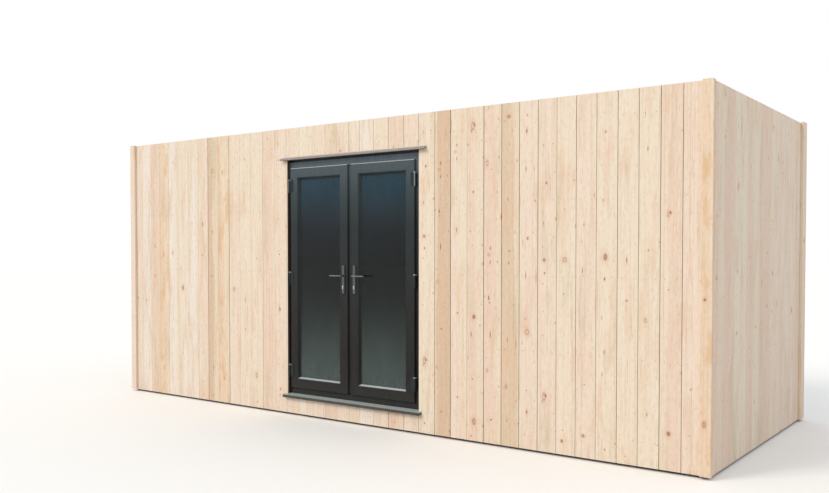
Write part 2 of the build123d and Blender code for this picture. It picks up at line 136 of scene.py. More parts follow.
# %% Light the scene
world = bpy.data.worlds.new("hazy_sky")
bpy.context.scene.world = world
world.use_nodes = True
sky = world.node_tree
sky.nodes.clear()
direction = add(sky, "ShaderNodeTexCoord").outputs["Generated"]
height = add(sky, "ShaderNodeSeparateXYZ", {"Vector": direction}).outputs["Z"]
sky_colour = add(sky, "ShaderNodeValToRGB", {"Fac": height})
set_stops(sky_colour, [(0.0, "#dfe3e8"), (0.9, "#f7fbff")])
SKY_STRENGTH = 1.03
lighting = add(sky, "ShaderNodeBackground", {"Color": sky_colour.outputs["Color"], "Strength": SKY_STRENGTH})
backdrop = add(sky, "ShaderNodeBackground", {"Color": hex_colour("#ffffff"), "Strength": 1.0})


def seen_directly(tree):
    """1 for camera, glossy and transmitted rays, 0 for light that bounces."""
    path = add(tree, "ShaderNodeLightPath")
    seen = add(tree, "ShaderNodeMath", {0: path.outputs["Is Camera Ray"], 1: path.outputs["Is Glossy Ray"]},
               operation="MAXIMUM")
    return add(tree, "ShaderNodeMath", {0: seen.outputs[0], 1: path.outputs["Is Transmission Ray"]},
               operation="MAXIMUM").outputs[0]


shown = add(sky, "ShaderNodeMixShader",
            {0: seen_directly(sky), 1: lighting.outputs[0], 2: backdrop.outputs[0]})
add(sky, "ShaderNodeOutputWorld", {"Surface": shown.outputs[0]})

SUN_STRENGTH, SUN_SPREAD = 1.35, radians(24)
SUN_LEAN, SUN_TURN = radians(52), radians(-34)
sun_data = bpy.data.lights.new("sun", "SUN")
sun_data.energy = SUN_STRENGTH
sun_data.angle = SUN_SPREAD
sun_data.color = hex_colour("#fff3e2")[:3]
sun = bpy.data.objects.new("sun", sun_data)
sun.rotation_euler = (SUN_LEAN, 0, SUN_TURN)
bpy.context.scene.collection.objects.link(sun)
bpy.context.scene.view_settings.view_transform = "Standard"

# %% Lay a pale floor
FLOOR_REACH = 60
floor_mesh = bpy.data.meshes.new("floor")
corners = [(-FLOOR_REACH, -FLOOR_REACH, 0), (FLOOR_REACH, -FLOOR_REACH, 0),
           (FLOOR_REACH, FLOOR_REACH, 0), (-FLOOR_REACH, FLOOR_REACH, 0)]
floor_mesh.from_pydata(corners, [], [(0, 1, 2, 3)])
floor = bpy.data.objects.new("floor", floor_mesh)
bpy.context.scene.collection.objects.link(floor)
floor_paint, tree, shader = new_material("pale_floor_paint", Roughness=0.9)
floor_tone = add(tree, "ShaderNodeMix",
                 {0: seen_directly(tree), 6: hex_colour("#b4b0aa"), 7: hex_colour("#efeeec")},
                 data_type="RGBA")
tree.links.new(floor_tone.outputs[2], shader.inputs["Base Color"])
floor_mesh.materials.append(floor_paint)

# %% [markdown]
# ## Larch, from the log outward
# A board is a slice through a log, so its figure comes from the growth rings. The
# material works in the board's own coordinates, which each board carries as
# attributes: "grain" is the place inside the board, "pith" says where the middle of
# the log lay, "tone" picks one of the colours that boards in one load show, and
# "knotty" says how many branches the log had. The distance from the pith gives the
# rings. The outer rings are pale sapwood and the inner ones are pinker heartwood. A
# fifth, "jointed", is 0 on an end board, whose outer edge is clean and not in a joint.
# Painting stripes would be quicker, but a ring that is a real distance also comes out
# right on the sawn ends.

# %% Shader helpers
def mixed(tree, share, first, second):
    """Blend two colours by a share from 0 to 1."""
    return add(tree, "ShaderNodeMix", {0: share, 6: first, 7: second}, data_type="RGBA").outputs[2]


def maths(tree, operation, first, second=0.0, third=0.0):
    """One arithmetic step between numbers or sockets."""
    return add(tree, "ShaderNodeMath", {0: first, 1: second, 2: third}, operation=operation).outputs[0]


def faded(tree, value, start, end, low=0.0, high=1.0):
    """A smooth step from low to high while the value goes from start to end."""
    inputs = {"Value": value, "From Min": start, "From Max": end, "To Min": low, "To Max": high}
    return add(tree, "ShaderNodeMapRange", inputs, interpolation_type="SMOOTHSTEP").outputs["Result"]


def stretched_noise(tree, place, per_metre, shift=(0.0, 0.0, 0.0), **settings):
    """Noise with its own number of waves per metre along each axis."""
    scaled = add(tree, "ShaderNodeVectorMath", {0: place, 1: per_metre}, operation="MULTIPLY").outputs[0]
    moved = add(tree, "ShaderNodeVectorMath", {0: scaled, 1: shift}, operation="ADD").outputs[0]
    return add(tree, "ShaderNodeTexNoise", {"Vector": moved, "Scale": 1.0, **settings}).outputs["Fac"]


def facing_up(tree, start, end):
    """A smooth step from 0 to 1 while the Z of a surface's normal goes from start to end."""
    normal = add(tree, "ShaderNodeNewGeometry").outputs["True Normal"]
    return faded(tree, add(tree, "ShaderNodeSeparateXYZ", {"Vector": normal}).outputs["Z"], start, end)


# %% Timber tones
BOARD_THICKNESS = 24 * MM
JOINT_STARTS = 2 * MM - BOARD_THICKNESS
JOINT_DARKEST = JOINT_STARTS + 4 * MM
TONGUE_LIT, TONGUE_DARK = -5 * MM, -7 * MM
RING_SPACING = 3.0 * MM
LOG_WANDERS, LOG_LEANS = 0.09, 0.012
SAPWOOD_STARTS, SAPWOOD_FULL = 120 * MM, 134 * MM
BRANCH_CELL, BRANCH_RADII = (0.15, 0.60), (7 * MM, 18 * MM)
SMALL_CELL, SMALL_RADII = (0.11, 0.30), (3 * MM, 8 * MM)
PIN_CELL, PIN_RADII = (0.09, 0.26), (2 * MM, 5 * MM)
TONES = {
    "white": "#f6ecdf",
    "cream": "#f4e2d0",
    "straw": "#f4e6d1",
    "pink": "#f1dac6",
    "amber": "#f1d9be",
    "tan": "#dfc5a9",
    "olive": "#e4cdb1",
}
TONE_NAMES = list(TONES)


def tone_value(name):
    """Where a tone sits on the colour ramp, from 0 to 1."""
    return (TONE_NAMES.index(name) + 0.5) / len(TONE_NAMES)


# %% Knots
def knots(tree, across, along, cell, share, sizes, longest):
    """Distance to the nearest knot and its radius (in metres), whether it shows, and random numbers.

    One random point in each cell of a stretched grid is a branch. The given share of
    them shows, with a radius between the two sizes, and some are up to longest times as
    long as they are wide."""
    cell_x = maths(tree, "DIVIDE", across, cell[0])
    cell_z = maths(tree, "DIVIDE", along, cell[1])
    place = add(tree, "ShaderNodeCombineXYZ", {"X": cell_x, "Y": cell_z}).outputs[0]
    cells = add(tree, "ShaderNodeTexVoronoi", {"Vector": place, "Scale": 1.0, "Randomness": 0.95},
                voronoi_dimensions="2D")
    chance = add(tree, "ShaderNodeSeparateColor", {"Color": cells.outputs["Color"]}).outputs
    offset = add(tree, "ShaderNodeVectorMath", {0: place, 1: cells.outputs["Position"]}, operation="SUBTRACT")
    length = add(tree, "ShaderNodeMapRange",
                 {"Value": chance["Green"], "To Min": cell[1] / longest, "To Max": cell[1] * 1.15})
    cell_size = add(tree, "ShaderNodeCombineXYZ", {"X": cell[0], "Y": length.outputs["Result"]}).outputs[0]
    metres = add(tree, "ShaderNodeVectorMath", {0: offset.outputs[0], 1: cell_size}, operation="MULTIPLY")
    distance = add(tree, "ShaderNodeVectorMath", {0: metres.outputs[0]}, operation="LENGTH").outputs["Value"]
    hidden = maths(tree, "SUBTRACT", 1.0, share)
    radius = add(tree, "ShaderNodeMapRange",
                 {"Value": chance["Red"], "From Min": hidden, "To Min": sizes[0], "To Max": sizes[1]})
    return distance, radius.outputs["Result"], maths(tree, "GREATER_THAN", chance["Red"], hidden), chance


# %% The timber material
def timber(name, bump_height):
    """Planed softwood that reads the board's own grain, pith and tone attributes."""
    material, tree, shader = new_material(name, Roughness=0.62)
    grain, pith = [add(tree, "ShaderNodeAttribute", attribute_name=label).outputs["Vector"]
                   for label in ("grain", "pith")]
    tone, knotty, jointed = [add(tree, "ShaderNodeAttribute", attribute_name=label).outputs["Fac"]
                             for label in ("tone", "knotty", "jointed")]
    place = add(tree, "ShaderNodeSeparateXYZ", {"Vector": grain}).outputs
    core = add(tree, "ShaderNodeSeparateXYZ", {"Vector": pith}).outputs
    along = maths(tree, "ADD", place["Z"], core["Z"])

    # The log wanders a few centimetres along its length, which bends the rings
    slow = add(tree, "ShaderNodeCombineXYZ", {"X": core["Z"], "Y": along}).outputs[0]
    wander = add(tree, "ShaderNodeTexNoise", {"Vector": slow, "Scale": 0.9, "Detail": 2.0}).outputs["Fac"]
    wander = maths(tree, "MULTIPLY_ADD", wander, LOG_WANDERS, -LOG_WANDERS / 2)
    ring_x = maths(tree, "ADD", maths(tree, "SUBTRACT", place["X"], core["X"]), wander)
    ring_y = maths(tree, "SUBTRACT", maths(tree, "SUBTRACT", place["Y"], core["Y"]),
                   maths(tree, "MULTIPLY", place["Z"], LOG_LEANS))
    ring_place = add(tree, "ShaderNodeCombineXYZ", {"X": ring_x, "Y": ring_y}).outputs[0]
    radius = add(tree, "ShaderNodeVectorMath", {0: ring_place}, operation="LENGTH").outputs["Value"]

    # Rings flow round each large knot
    branch_distance, branch_radius, has_branch, branch_chance = knots(
        tree, place["X"], along, BRANCH_CELL, maths(tree, "MULTIPLY", knotty, 0.45), BRANCH_RADII, 2.6)
    near_branch = maths(tree, "MULTIPLY", has_branch,
                        faded(tree, branch_distance, maths(tree, "MULTIPLY", branch_radius, 2.8), 0.0))
    ring_radius = maths(tree, "MULTIPLY_ADD", near_branch, branch_radius, radius)

    # A slightly uneven spacing, then one saw-toothed dark line for each year
    uneven = add(tree, "ShaderNodeTexNoise", {"W": ring_radius, "Scale": 90.0, "Detail": 1.0},
                 noise_dimensions="1D").outputs["Fac"]
    years = maths(tree, "MULTIPLY_ADD", uneven, 2.2, maths(tree, "DIVIDE", ring_radius, RING_SPACING))
    season = maths(tree, "FRACT", years)
    latewood = maths(tree, "MULTIPLY", faded(tree, season, 0.3, 0.9), faded(tree, season, 1.0, 0.93))

    # Streaks run along the grain, and slow clouds of tone lie over them
    streaks = stretched_noise(tree, grain, (75.0, 75.0, 0.9), pith, Detail=4.0, Roughness=0.62)
    red_streaks = stretched_noise(tree, grain, (140.0, 140.0, 2.6), pith, Detail=2.0)
    clouds = stretched_noise(tree, grain, (13.0, 13.0, 2.2), pith, Detail=3.0, Roughness=0.6)
    mottle = stretched_noise(tree, grain, (55.0, 55.0, 24.0), pith, Detail=3.0, Roughness=0.65)
    stains = stretched_noise(tree, grain, (9.0, 9.0, 1.1), core["Z"], Detail=4.0, Roughness=0.65)
    patches = stretched_noise(tree, grain, (9.0, 9.0, 3.2), pith, Detail=4.0, Roughness=0.6)

    # Colour: the load's tone, straw-coloured in the sapwood and pinker in the heart, and
    # golden in places where a board is amber
    tones = add(tree, "ShaderNodeValToRGB", {"Fac": tone})
    tones.color_ramp.interpolation = "CONSTANT"
    set_stops(tones, [(number / len(TONES), value) for number, value in enumerate(TONES.values())])
    edge = maths(tree, "MULTIPLY_ADD", clouds, 0.03, radius)
    is_amber = maths(tree, "COMPARE", tone, tone_value("amber"), 0.5 / len(TONES))
    golden = maths(tree, "MULTIPLY", is_amber, faded(tree, patches, 0.5, 0.62, 0.0, 0.5))
    colour = tones.outputs["Color"]
    for share, tint in (
            (faded(tree, edge, SAPWOOD_STARTS, SAPWOOD_FULL, 0.0, 0.7), "#f3e6cf"),
            (faded(tree, clouds, 0.48, 0.74, 0.0, 0.45), "#e6bf9f"),
            (faded(tree, stains, 0.54, 0.70, 0.0, 0.45), "#cdc3a2"),
            (golden, "#e3b67f"),
            (faded(tree, mottle, 0.50, 0.74, 0.0, 0.26), "#cfa27c"),
            (faded(tree, mottle, 0.46, 0.28, 0.0, 0.22), "#fdf4ea"),
            (maths(tree, "MULTIPLY", latewood, 0.13), "#c99670"),
            (faded(tree, streaks, 0.48, 0.80, 0.0, 0.40), "#d0a584"),
            (faded(tree, streaks, 0.42, 0.22, 0.0, 0.35), "#fbf0e4"),
            (faded(tree, red_streaks, 0.64, 0.78, 0.0, 0.50), "#cd8e6c"),
            (maths(tree, "MULTIPLY", near_branch, 0.42), "#dba680")):
        colour = mixed(tree, share, colour, hex_colour(tint))

    # Large knots: inside that last warm halo, a thin brown rim and a heart that is mostly pale
    inner = maths(tree, "MULTIPLY", branch_radius, 0.7)
    body = maths(tree, "MULTIPLY", has_branch, faded(tree, branch_distance, branch_radius, inner))
    pale_share = faded(tree, branch_chance["Blue"], 0.2, 0.45)
    heart_colour = mixed(tree, pale_share, hex_colour("#98674f"), hex_colour("#ebcdb2"))
    in_heart = faded(tree, branch_distance, inner, maths(tree, "MULTIPLY", inner, 0.6))
    branch_colour = mixed(tree, in_heart, hex_colour("#a5765c"), heart_colour)
    colour = mixed(tree, maths(tree, "MULTIPLY", body, 0.75), colour, branch_colour)

    # Small knots are dark throughout, and pins and resin pockets are short dark dashes
    small_along = maths(tree, "ADD", along, 3.1)
    small_share = maths(tree, "MULTIPLY", knotty, 0.55)
    pin_along = maths(tree, "ADD", along, 7.3)
    for place_z, cell, share, sizes, longest, strength in (
            (small_along, SMALL_CELL, small_share, SMALL_RADII, 5.0, 0.9),
            (pin_along, PIN_CELL, knotty, PIN_RADII, 10.0, 0.8)):
        distance, size, shows, chance = knots(tree, place["X"], place_z, cell, share, sizes, longest)
        mark = faded(tree, distance, size, maths(tree, "MULTIPLY", size, 0.5), 0.0, strength)
        dark = mixed(tree, chance["Blue"], hex_colour("#5e3c2e"), hex_colour("#c67a53"))
        halo = faded(tree, distance, maths(tree, "MULTIPLY", size, 2.4), size, 0.0, 0.3)
        colour = mixed(tree, maths(tree, "MULTIPLY", halo, shows), colour, hex_colour("#cf9a74"))
        colour = mixed(tree, maths(tree, "MULTIPLY", mark, shows), colour, dark)

    # Dirt and shade darken the joints, from a little behind the face, but not the sawn tops
    in_joint = maths(tree, "MULTIPLY", jointed, facing_up(tree, 0.6, 0.4))
    for start, end, most in ((JOINT_STARTS, JOINT_DARKEST, 0.75), (TONGUE_LIT, TONGUE_DARK, 1.0)):
        in_joint = maths(tree, "MULTIPLY", in_joint, faded(tree, place["Y"], start, end, 0.0, most))
    colour = mixed(tree, in_joint, colour, hex_colour("#4f3c2c"))
    tree.links.new(colour, shader.inputs["Base Color"])

    relief = maths(tree, "ADD", latewood, streaks)
    bump = add(tree, "ShaderNodeBump", {"Height": relief, "Strength": 0.35, "Distance": bump_height})
    tree.links.new(bump.outputs[0], shader.inputs["Normal"])
    return material


larch = timber("planed_larch", 0.2 * MM)
print("larch made with", len(larch.node_tree.nodes), "nodes")

# %% [markdown]
# ## One board to copy
# The boards are tongued and grooved. The blank below is one metre tall and has the
# true section: eased front edges, a tongue on the right and a groove on the left. The
# tongue closes the joint from behind, so a joint is a thin shadow and nothing shows
# through it.

# %% Make the blank
BOARD_FACE = 150 * MM
ARRIS = 1.5 * MM
TONGUE = 8 * MM
TONGUE_FRONT, TONGUE_BACK = 15 * MM, 8 * MM
GROOVE_PLAY = 0.4 * MM
half = BOARD_FACE / 2


def object_from(name, mesh):
    """Link a mesh into the scene as an object at the origin."""
    thing = bpy.data.objects.new(name, mesh)
    bpy.context.scene.collection.objects.link(thing)
    return thing


def extruded(name, outline, height):
    """A closed upright prism from an outline given anticlockwise, seen from above."""
    bm = bmesh.new()
    face = bm.faces.new([bm.verts.new((x, y, 0)) for x, y in outline])
    grown = bmesh.ops.extrude_face_region(bm, geom=[face])
    tops = [v for v in grown["geom"] if isinstance(v, bmesh.types.BMVert)]
    bmesh.ops.translate(bm, verts=tops, vec=(0, 0, height))
    bmesh.ops.recalc_face_normals(bm, faces=bm.faces)
    mesh = bpy.data.meshes.new(name)
    bm.to_mesh(mesh)
    bm.free()
    return mesh


section = [
    (-half + ARRIS, -BOARD_THICKNESS), (half - ARRIS, -BOARD_THICKNESS), (half, -BOARD_THICKNESS + ARRIS),
    (half, -TONGUE_FRONT), (half + TONGUE, -TONGUE_FRONT), (half + TONGUE, -TONGUE_BACK), (half, -TONGUE_BACK),
    (half, 0), (-half, 0), (-half, -TONGUE_BACK + GROOVE_PLAY), (-half + TONGUE, -TONGUE_BACK + GROOVE_PLAY),
    (-half + TONGUE, -TONGUE_FRONT - GROOVE_PLAY), (-half, -TONGUE_FRONT - GROOVE_PLAY),
    (-half, -BOARD_THICKNESS + ARRIS),
]
blank = object_from("board_blank", extruded("board_blank", section, 1.0))
blank.data.materials.append(larch)

# %% [markdown]
# ## Setting out and fixing the boards
# A joiner marks the joints along the wall first, then fixes one board between each
# pair of marks. The script does the same. Python makes one point at the middle of
# each board, with the board's width, tone and pith as attributes. A Geometry Nodes
# tree then sets a copy of the blank on each point and stretches it to its width and
# height. Real boards vary by a few millimetres, so the widths are given one by one
# where the photograph shows them, and so are the joints that have opened and the
# boards with many knots.

# %% Tree that fixes a board on each mark
def new_geometry_tree(name, sockets):
    """A modifier tree with a geometry input and output and the given named inputs."""
    tree = bpy.data.node_groups.new(name, "GeometryNodeTree")
    tree.is_modifier = True
    tree.interface.new_socket("Geometry", in_out="INPUT", socket_type="NodeSocketGeometry")
    for label, kind in sockets.items():
        tree.interface.new_socket(label, in_out="INPUT", socket_type=kind)
    tree.interface.new_socket("Geometry", in_out="OUTPUT", socket_type="NodeSocketGeometry")
    return tree, add(tree, "NodeGroupInput").outputs


board_tree, given = new_geometry_tree("fix_boards", {
    "Blank": "NodeSocketObject", "Blank Width": "NodeSocketFloat", "Height": "NodeSocketFloat",
    "Recess": "NodeSocketFloat", "Seed": "NodeSocketInt", "Timber": "NodeSocketMaterial"})
width, middle = [add(board_tree, "GeometryNodeInputNamedAttribute", {"Name": label}, data_type="FLOAT")
                 .outputs["Attribute"] for label in ("width", "middle")]
stretch = add(board_tree, "ShaderNodeMath", {0: width, 1: given["Blank Width"]}, operation="DIVIDE").outputs[0]
thinnest = add(board_tree, "ShaderNodeMath", {0: 1.0, 1: given["Recess"]}, operation="SUBTRACT").outputs[0]
FLOAT_MIN, FLOAT_MAX, FLOAT_RESULT = 2, 3, 1
depth = add(board_tree, "FunctionNodeRandomValue",
            {FLOAT_MIN: thinnest, FLOAT_MAX: 1.0, "Seed": given["Seed"]},
            data_type="FLOAT").outputs[FLOAT_RESULT]
scale = add(board_tree, "ShaderNodeCombineXYZ", {"X": stretch, "Y": depth, "Z": given["Height"]}).outputs[0]
blank_info = add(board_tree, "GeometryNodeObjectInfo", {"Object": given["Blank"]})
fixed = add(board_tree, "GeometryNodeInstanceOnPoints",
            {"Points": given["Geometry"], "Instance": blank_info.outputs["Geometry"], "Scale": scale})
solid = add(board_tree, "GeometryNodeRealizeInstances", {"Geometry": fixed.outputs[0]}).outputs[0]
here = add(board_tree, "GeometryNodeInputPosition").outputs[0]
middle_point = add(board_tree, "ShaderNodeCombineXYZ", {"X": middle}).outputs[0]
own_place = add(board_tree, "ShaderNodeVectorMath", {0: here, 1: middle_point},
                operation="SUBTRACT").outputs[0]
grained = add(board_tree, "GeometryNodeStoreNamedAttribute",
              {"Geometry": solid, "Name": "grain", "Value": own_place},
              data_type="FLOAT_VECTOR", domain="POINT")
finished = add(board_tree, "GeometryNodeSetMaterial",
               {"Geometry": grained.outputs[0], "Material": given["Timber"]})
add(board_tree, "NodeGroupOutput", {"Geometry": finished.outputs[0]})


# %% Run a tree and keep the result as a plain mesh
def grow(name, marks, tree, values):
    """Put the tree on the marks, give its inputs, and turn what it makes into a mesh."""
    modifier = marks.modifiers.new("grow", "NODES")
    modifier.node_group = tree
    for item in tree.interface.items_tree:
        if item.item_type == "SOCKET" and item.name in values:
            modifier[item.identifier] = values[item.name]
    marks.update_tag()
    bpy.context.view_layer.update()
    evaluated = marks.evaluated_get(bpy.context.evaluated_depsgraph_get())
    mesh = bpy.data.meshes.new_from_object(evaluated)
    mesh.name = name
    marks.modifiers.remove(modifier)
    return mesh


# %% Set out the marks of one wall
JOINT = 2.8 * MM


def set_out(name, start, widths, tones, seed, open_joints=None, knotty_boards=None):
    """One vertex for each board, at its middle, with what the board tree reads.

    open_joints gives the width of a joint by the number of the board on its right, and
    knotty_boards the share of branches that show on a board."""
    random = np.random.default_rng(seed)
    count = len(widths)
    edges = start + np.concatenate([[0], np.cumsum(widths)])
    joints = JOINT * random.uniform(0.4, 1.5, count + 1)
    for number, joint in (open_joints or {}).items():
        joints[number] = joint
    lefts, rights = edges[:-1] + joints[:-1] / 2, edges[1:] - joints[1:] / 2
    middles, faces = (lefts + rights) / 2, rights - lefts
    piths = np.stack([random.uniform(-0.07, 0.07, count), random.uniform(0.015, 0.075, count),
                      random.uniform(0, 40, count)], axis=1)
    knotty = random.uniform(0.1, 0.5, count)
    for number, share in (knotty_boards or {}).items():
        if number < count:
            knotty[number] = share
    mesh = bpy.data.meshes.new(name)
    mesh.from_pydata([(x, 0, 0) for x in middles], [], [])
    tone_values = [tone_value(tone) for tone in tones]
    jointed = [0] + [1] * (count - 2) + [0]
    for label, values in (("width", faces), ("middle", middles), ("tone", tone_values), ("knotty", knotty),
                          ("jointed", jointed)):
        mesh.attributes.new(label, "FLOAT", "POINT").data.foreach_set("value", np.array(values, np.float32))
    stored = mesh.attributes.new("pith", "FLOAT_VECTOR", "POINT")
    stored.data.foreach_set("vector", piths.astype(np.float32).ravel())
    return object_from(name, mesh), edges


# %% [markdown]
# ## Sawing the run to the walls
# A run is set out a little longer than its wall and then sawn with flat cuts. The
# front wall is fixed as one run of full boards and sawn into four parts round the
# doorway, so the short boards over and under the door line up with each other. A cut
# leaves an open edge in the mesh, which is filled so that each board stays closed. The
# cuts beside the doorway are painted dark brown, a painted shade for the shadow in the
# doorway's reveal.

# %% A saw cut
# Painted shade: the doorway's cut ends are coloured dark brown for the shadow in the reveal.
reveal_shade_paint, tree, shader = new_material("painted_reveal_shade", Roughness=0.7, Base_Color=hex_colour("#5a4435"))


def saw(mesh, axis, at, keep_side, sealed=False):
    """Cut a mesh at a flat plane, keep the lower (-1) or upper (1) side, close the cut.

    A cut at the doorway's reveal gets a painted shade of dark brown, the mesh's second material."""
    if sealed:
        mesh.materials.append(reveal_shade_paint)
    normal = Vector((axis == "x", axis == "y", axis == "z")) * -keep_side
    point = Vector((axis == "x", axis == "y", axis == "z")) * at
    bm = bmesh.new()
    bm.from_mesh(mesh)
    cut = bmesh.ops.bisect_plane(bm, geom=bm.verts[:] + bm.edges[:] + bm.faces[:], dist=1e-6,
                                 plane_co=point, plane_no=normal, clear_outer=True)
    edges = [e for e in cut["geom_cut"] if isinstance(e, bmesh.types.BMEdge) and e.is_boundary]
    if edges:
        bmesh.ops.edgeloop_fill(bm, edges=edges, mat_nr=int(sealed))
    bm.to_mesh(mesh)
    bm.free()


def fix_on_wall(name, mesh, turn, position, node):
    """Turn and move finished boards to their wall, in place of the plain slab."""
    mesh.transform(Matrix.Translation(position) @ Matrix.Rotation(turn, 4, "Z"))
    piece = object_from(name, mesh)
    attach(piece, "cabin")
    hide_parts(node)
    print(name, len(mesh.polygons), "faces")
    return piece


# %% Fix the front wall
FRONT_WIDTHS = [
    30, 150, 138, 145, 144, 152, 153, 156, 146, 149, 155, 150, 155, 157, 158, 146,
    165, 160, 148, 136, 137, 120, 153, 158, 160, 150,
    158, 151, 154, 152, 157, 153, 155, 152, 153, 155, 157, 152, 152, 151, 154, 49,
]
FRONT_TONES = (
    "cream cream white pink amber white white white cream tan amber cream straw straw pink cream "
    "cream white cream pink cream straw white cream pink cream "
    "straw tan cream pink pink olive cream cream straw cream straw straw straw pink cream amber"
).split()
TIGHT_JOINT, OPEN_JOINT = 0.9 * MM, 4.5 * MM
FRONT_JOINTS = {**{number: TIGHT_JOINT for number in range(26)}, 9: OPEN_JOINT, 11: OPEN_JOINT, 14: 2 * MM,
                21: 1.8 * MM, 22: 1.8 * MM, 23: 2 * MM, 24: 3.5 * MM, 25: 2.8 * MM, 26: 3.5 * MM,
                27: 3 * MM, 28: OPEN_JOINT, 30: OPEN_JOINT, 31: 4 * MM, 32: 3.5 * MM, 35: 3 * MM, 36: 2.6 * MM,
                37: 3.4 * MM, 38: 2.8 * MM, 39: 3.6 * MM, 40: 3.2 * MM}
FRONT_KNOTS = {**{number: 0.14 for number in range(15)}, 0: 0.4, 9: 0.3, 11: 0.45, 15: 0.6, 26: 0.6, 27: 0.9,
               29: 0.95, 30: 0.9, 31: 0.85, 32: 0.6, 33: 0.6, 34: 0.5, 35: 0.5}
RECESS = 0.05
front_low, front_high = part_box("cladding_front_left")
right_low, right_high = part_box("cladding_front_right")
over_low, over_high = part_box("cladding_over_door")
under_low, under_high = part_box("cladding_under_door")
board_height = front_high.z - front_low.z
marks, front_edges = set_out("front_marks", front_low.x, np.array(FRONT_WIDTHS) * MM, FRONT_TONES, 11,
                             FRONT_JOINTS, FRONT_KNOTS)
front_run = grow("front_run", marks, board_tree, {
    "Blank": blank, "Blank Width": BOARD_FACE, "Height": board_height, "Recess": RECESS, "Seed": 3,
    "Timber": larch})
print("front run:", len(FRONT_WIDTHS), "boards, ends at", round(float(front_edges[-1]), 3), "of", right_high.x)
wall_back = (0, front_high.y, front_low.z)

left_part = front_run.copy()
saw(left_part, "x", front_low.x, 1)
saw(left_part, "x", front_high.x, -1, sealed=True)
fix_on_wall("boards_front_left", left_part, 0, wall_back, "cladding_front_left")

right_part = front_run.copy()
saw(right_part, "x", right_low.x, 1, sealed=True)
saw(right_part, "x", right_high.x, -1)
fix_on_wall("boards_front_right", right_part, 0, wall_back, "cladding_front_right")

for name, node, low, high in (("boards_over_door", "cladding_over_door", over_low, over_high),
                              ("boards_under_door", "cladding_under_door", under_low, under_high)):
    short_part = front_run.copy()
    saw(short_part, "x", low.x, 1)
    saw(short_part, "x", high.x, -1)
    saw(short_part, "z", low.z - front_low.z, 1)
    saw(short_part, "z", high.z - front_low.z, -1)
    fix_on_wall(name, short_part, 0, wall_back, node)

# %% Fix the rear wall and the ends
END_PITCH = 154.6 * MM
REAR_PITCH = 153.0 * MM
COMMON_TONES = ["white", "cream", "cream", "straw", "straw", "pink", "pink", "amber", "olive"]
END_TONES = "pink pink pink straw straw pink straw pink pink cream cream cream cream cream pink cream".split()
WALL_KNOTS = {number: share for number, share in enumerate([0.1, 0.25, 0.15, 0.35, 0.1, 0.2, 0.3, 0.1] * 6)}
plain_walls = {}


def plain_wall(name, node, turn, length, first_width, pitch, seed, known_tones=()):
    """A whole wall of boards, from its left end as someone outside looks at it.

    known_tones gives the tones of the first boards, and the rest are drawn by lot."""
    random = np.random.default_rng(seed)
    count = int((length - first_width) / pitch) + 2
    widths = np.array([first_width] + [pitch] * (count - 1))
    tones = [*known_tones, *random.choice(COMMON_TONES, count)][:count]
    wall_marks, joints = set_out(name + "_marks", -length / 2, widths, tones, seed, {}, WALL_KNOTS)
    run = grow(name, wall_marks, board_tree, {
        "Blank": blank, "Blank Width": BOARD_FACE, "Height": board_height, "Recess": RECESS, "Seed": seed,
        "Timber": larch})
    saw(run, "x", length / 2, -1)
    saw(run, "x", -length / 2, 1)
    low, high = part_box(node)
    centre = (low + high) / 2
    outward = Matrix.Rotation(turn, 3, "Z") @ Vector((0, -1, 0))
    back = centre - outward * BOARD_THICKNESS / 2
    bpy.data.objects.remove(wall_marks)
    position = (back.x, back.y, low.z)
    plain_walls[name] = (np.clip(joints, -length / 2, length / 2), turn, position)
    return fix_on_wall(name, run, turn, position, node)


rear_low, rear_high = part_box("cladding_rear")
end_low, end_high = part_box("cladding_right_end")
plain_wall("boards_right_end", "cladding_right_end", pi / 2, end_high.y - end_low.y, 167 * MM, END_PITCH, 21,
           END_TONES)
plain_wall("boards_left_end", "cladding_left_end", -pi / 2, end_high.y - end_low.y, 120 * MM, END_PITCH, 33)
plain_wall("boards_rear", "cladding_rear", pi, rear_high.x - rear_low.x, 153 * MM, REAR_PITCH, 45)

# %% [markdown]
# ## Corner boards
# A board covers each outside corner, so that nobody sees the ends of the others. These
# are thicker boards with rounded arrises, made one by one from a bevelled box. Each gets
# the same attributes as the wall boards, so the same timber fits them. The pith is
# put beyond one edge, which leaves a strip of pale sapwood along the other one, as the
# front right board has. The front ones are sawn a little shorter than the rear ones.

# %% One corner board
ARRIS_RADIUS = 3 * MM
CORNER_KNOTS = 0.06


def corner_board(bm, low, high, across, outward, pith, tone):
    """Add a board between two corners. across is the axis (0 or 1) of its width."""
    vectors, numbers = bm.verts.layers.float_vector, bm.verts.layers.float
    grain_layer, pith_layer = [vectors.get(label) or vectors.new(label) for label in ("grain", "pith")]
    tone_layer, knotty_layer, jointed_layer = [numbers.get(label) or numbers.new(label)
                                               for label in ("tone", "knotty", "jointed")]
    centre = (Vector(low) + Vector(high)) / 2
    size = Vector(high) - Vector(low)
    made = bmesh.ops.create_cube(bm, size=1.0, matrix=Matrix.Translation(centre) @ Matrix.Diagonal((*size, 1)))
    upright = {e for v in made["verts"] for e in v.link_edges
               if abs(e.verts[0].co.z - e.verts[1].co.z) > size.z / 2}
    rounded = bmesh.ops.bevel(bm, geom=list(upright), offset=ARRIS_RADIUS, segments=3, profile=0.5,
                              affect="EDGES")
    unchanged = {v for v in made["verts"] if v.is_valid}
    for vert in unchanged | {v for face in rounded["faces"] for v in face.verts}:
        own = vert.co - centre
        depth = own[1 - across] * outward
        vert[grain_layer] = (own[across], -depth - size[1 - across] / 2, vert.co.z - low[2])
        vert[pith_layer] = pith
        vert[tone_layer] = tone_value(tone)
        vert[knotty_layer] = CORNER_KNOTS
        vert[jointed_layer] = 0


def mesh_from(bm, name):
    """Close a bmesh with its normals outward and return it as a mesh."""
    bmesh.ops.recalc_face_normals(bm, faces=bm.faces)
    mesh = bpy.data.meshes.new(name)
    bm.to_mesh(mesh)
    bm.free()
    return mesh


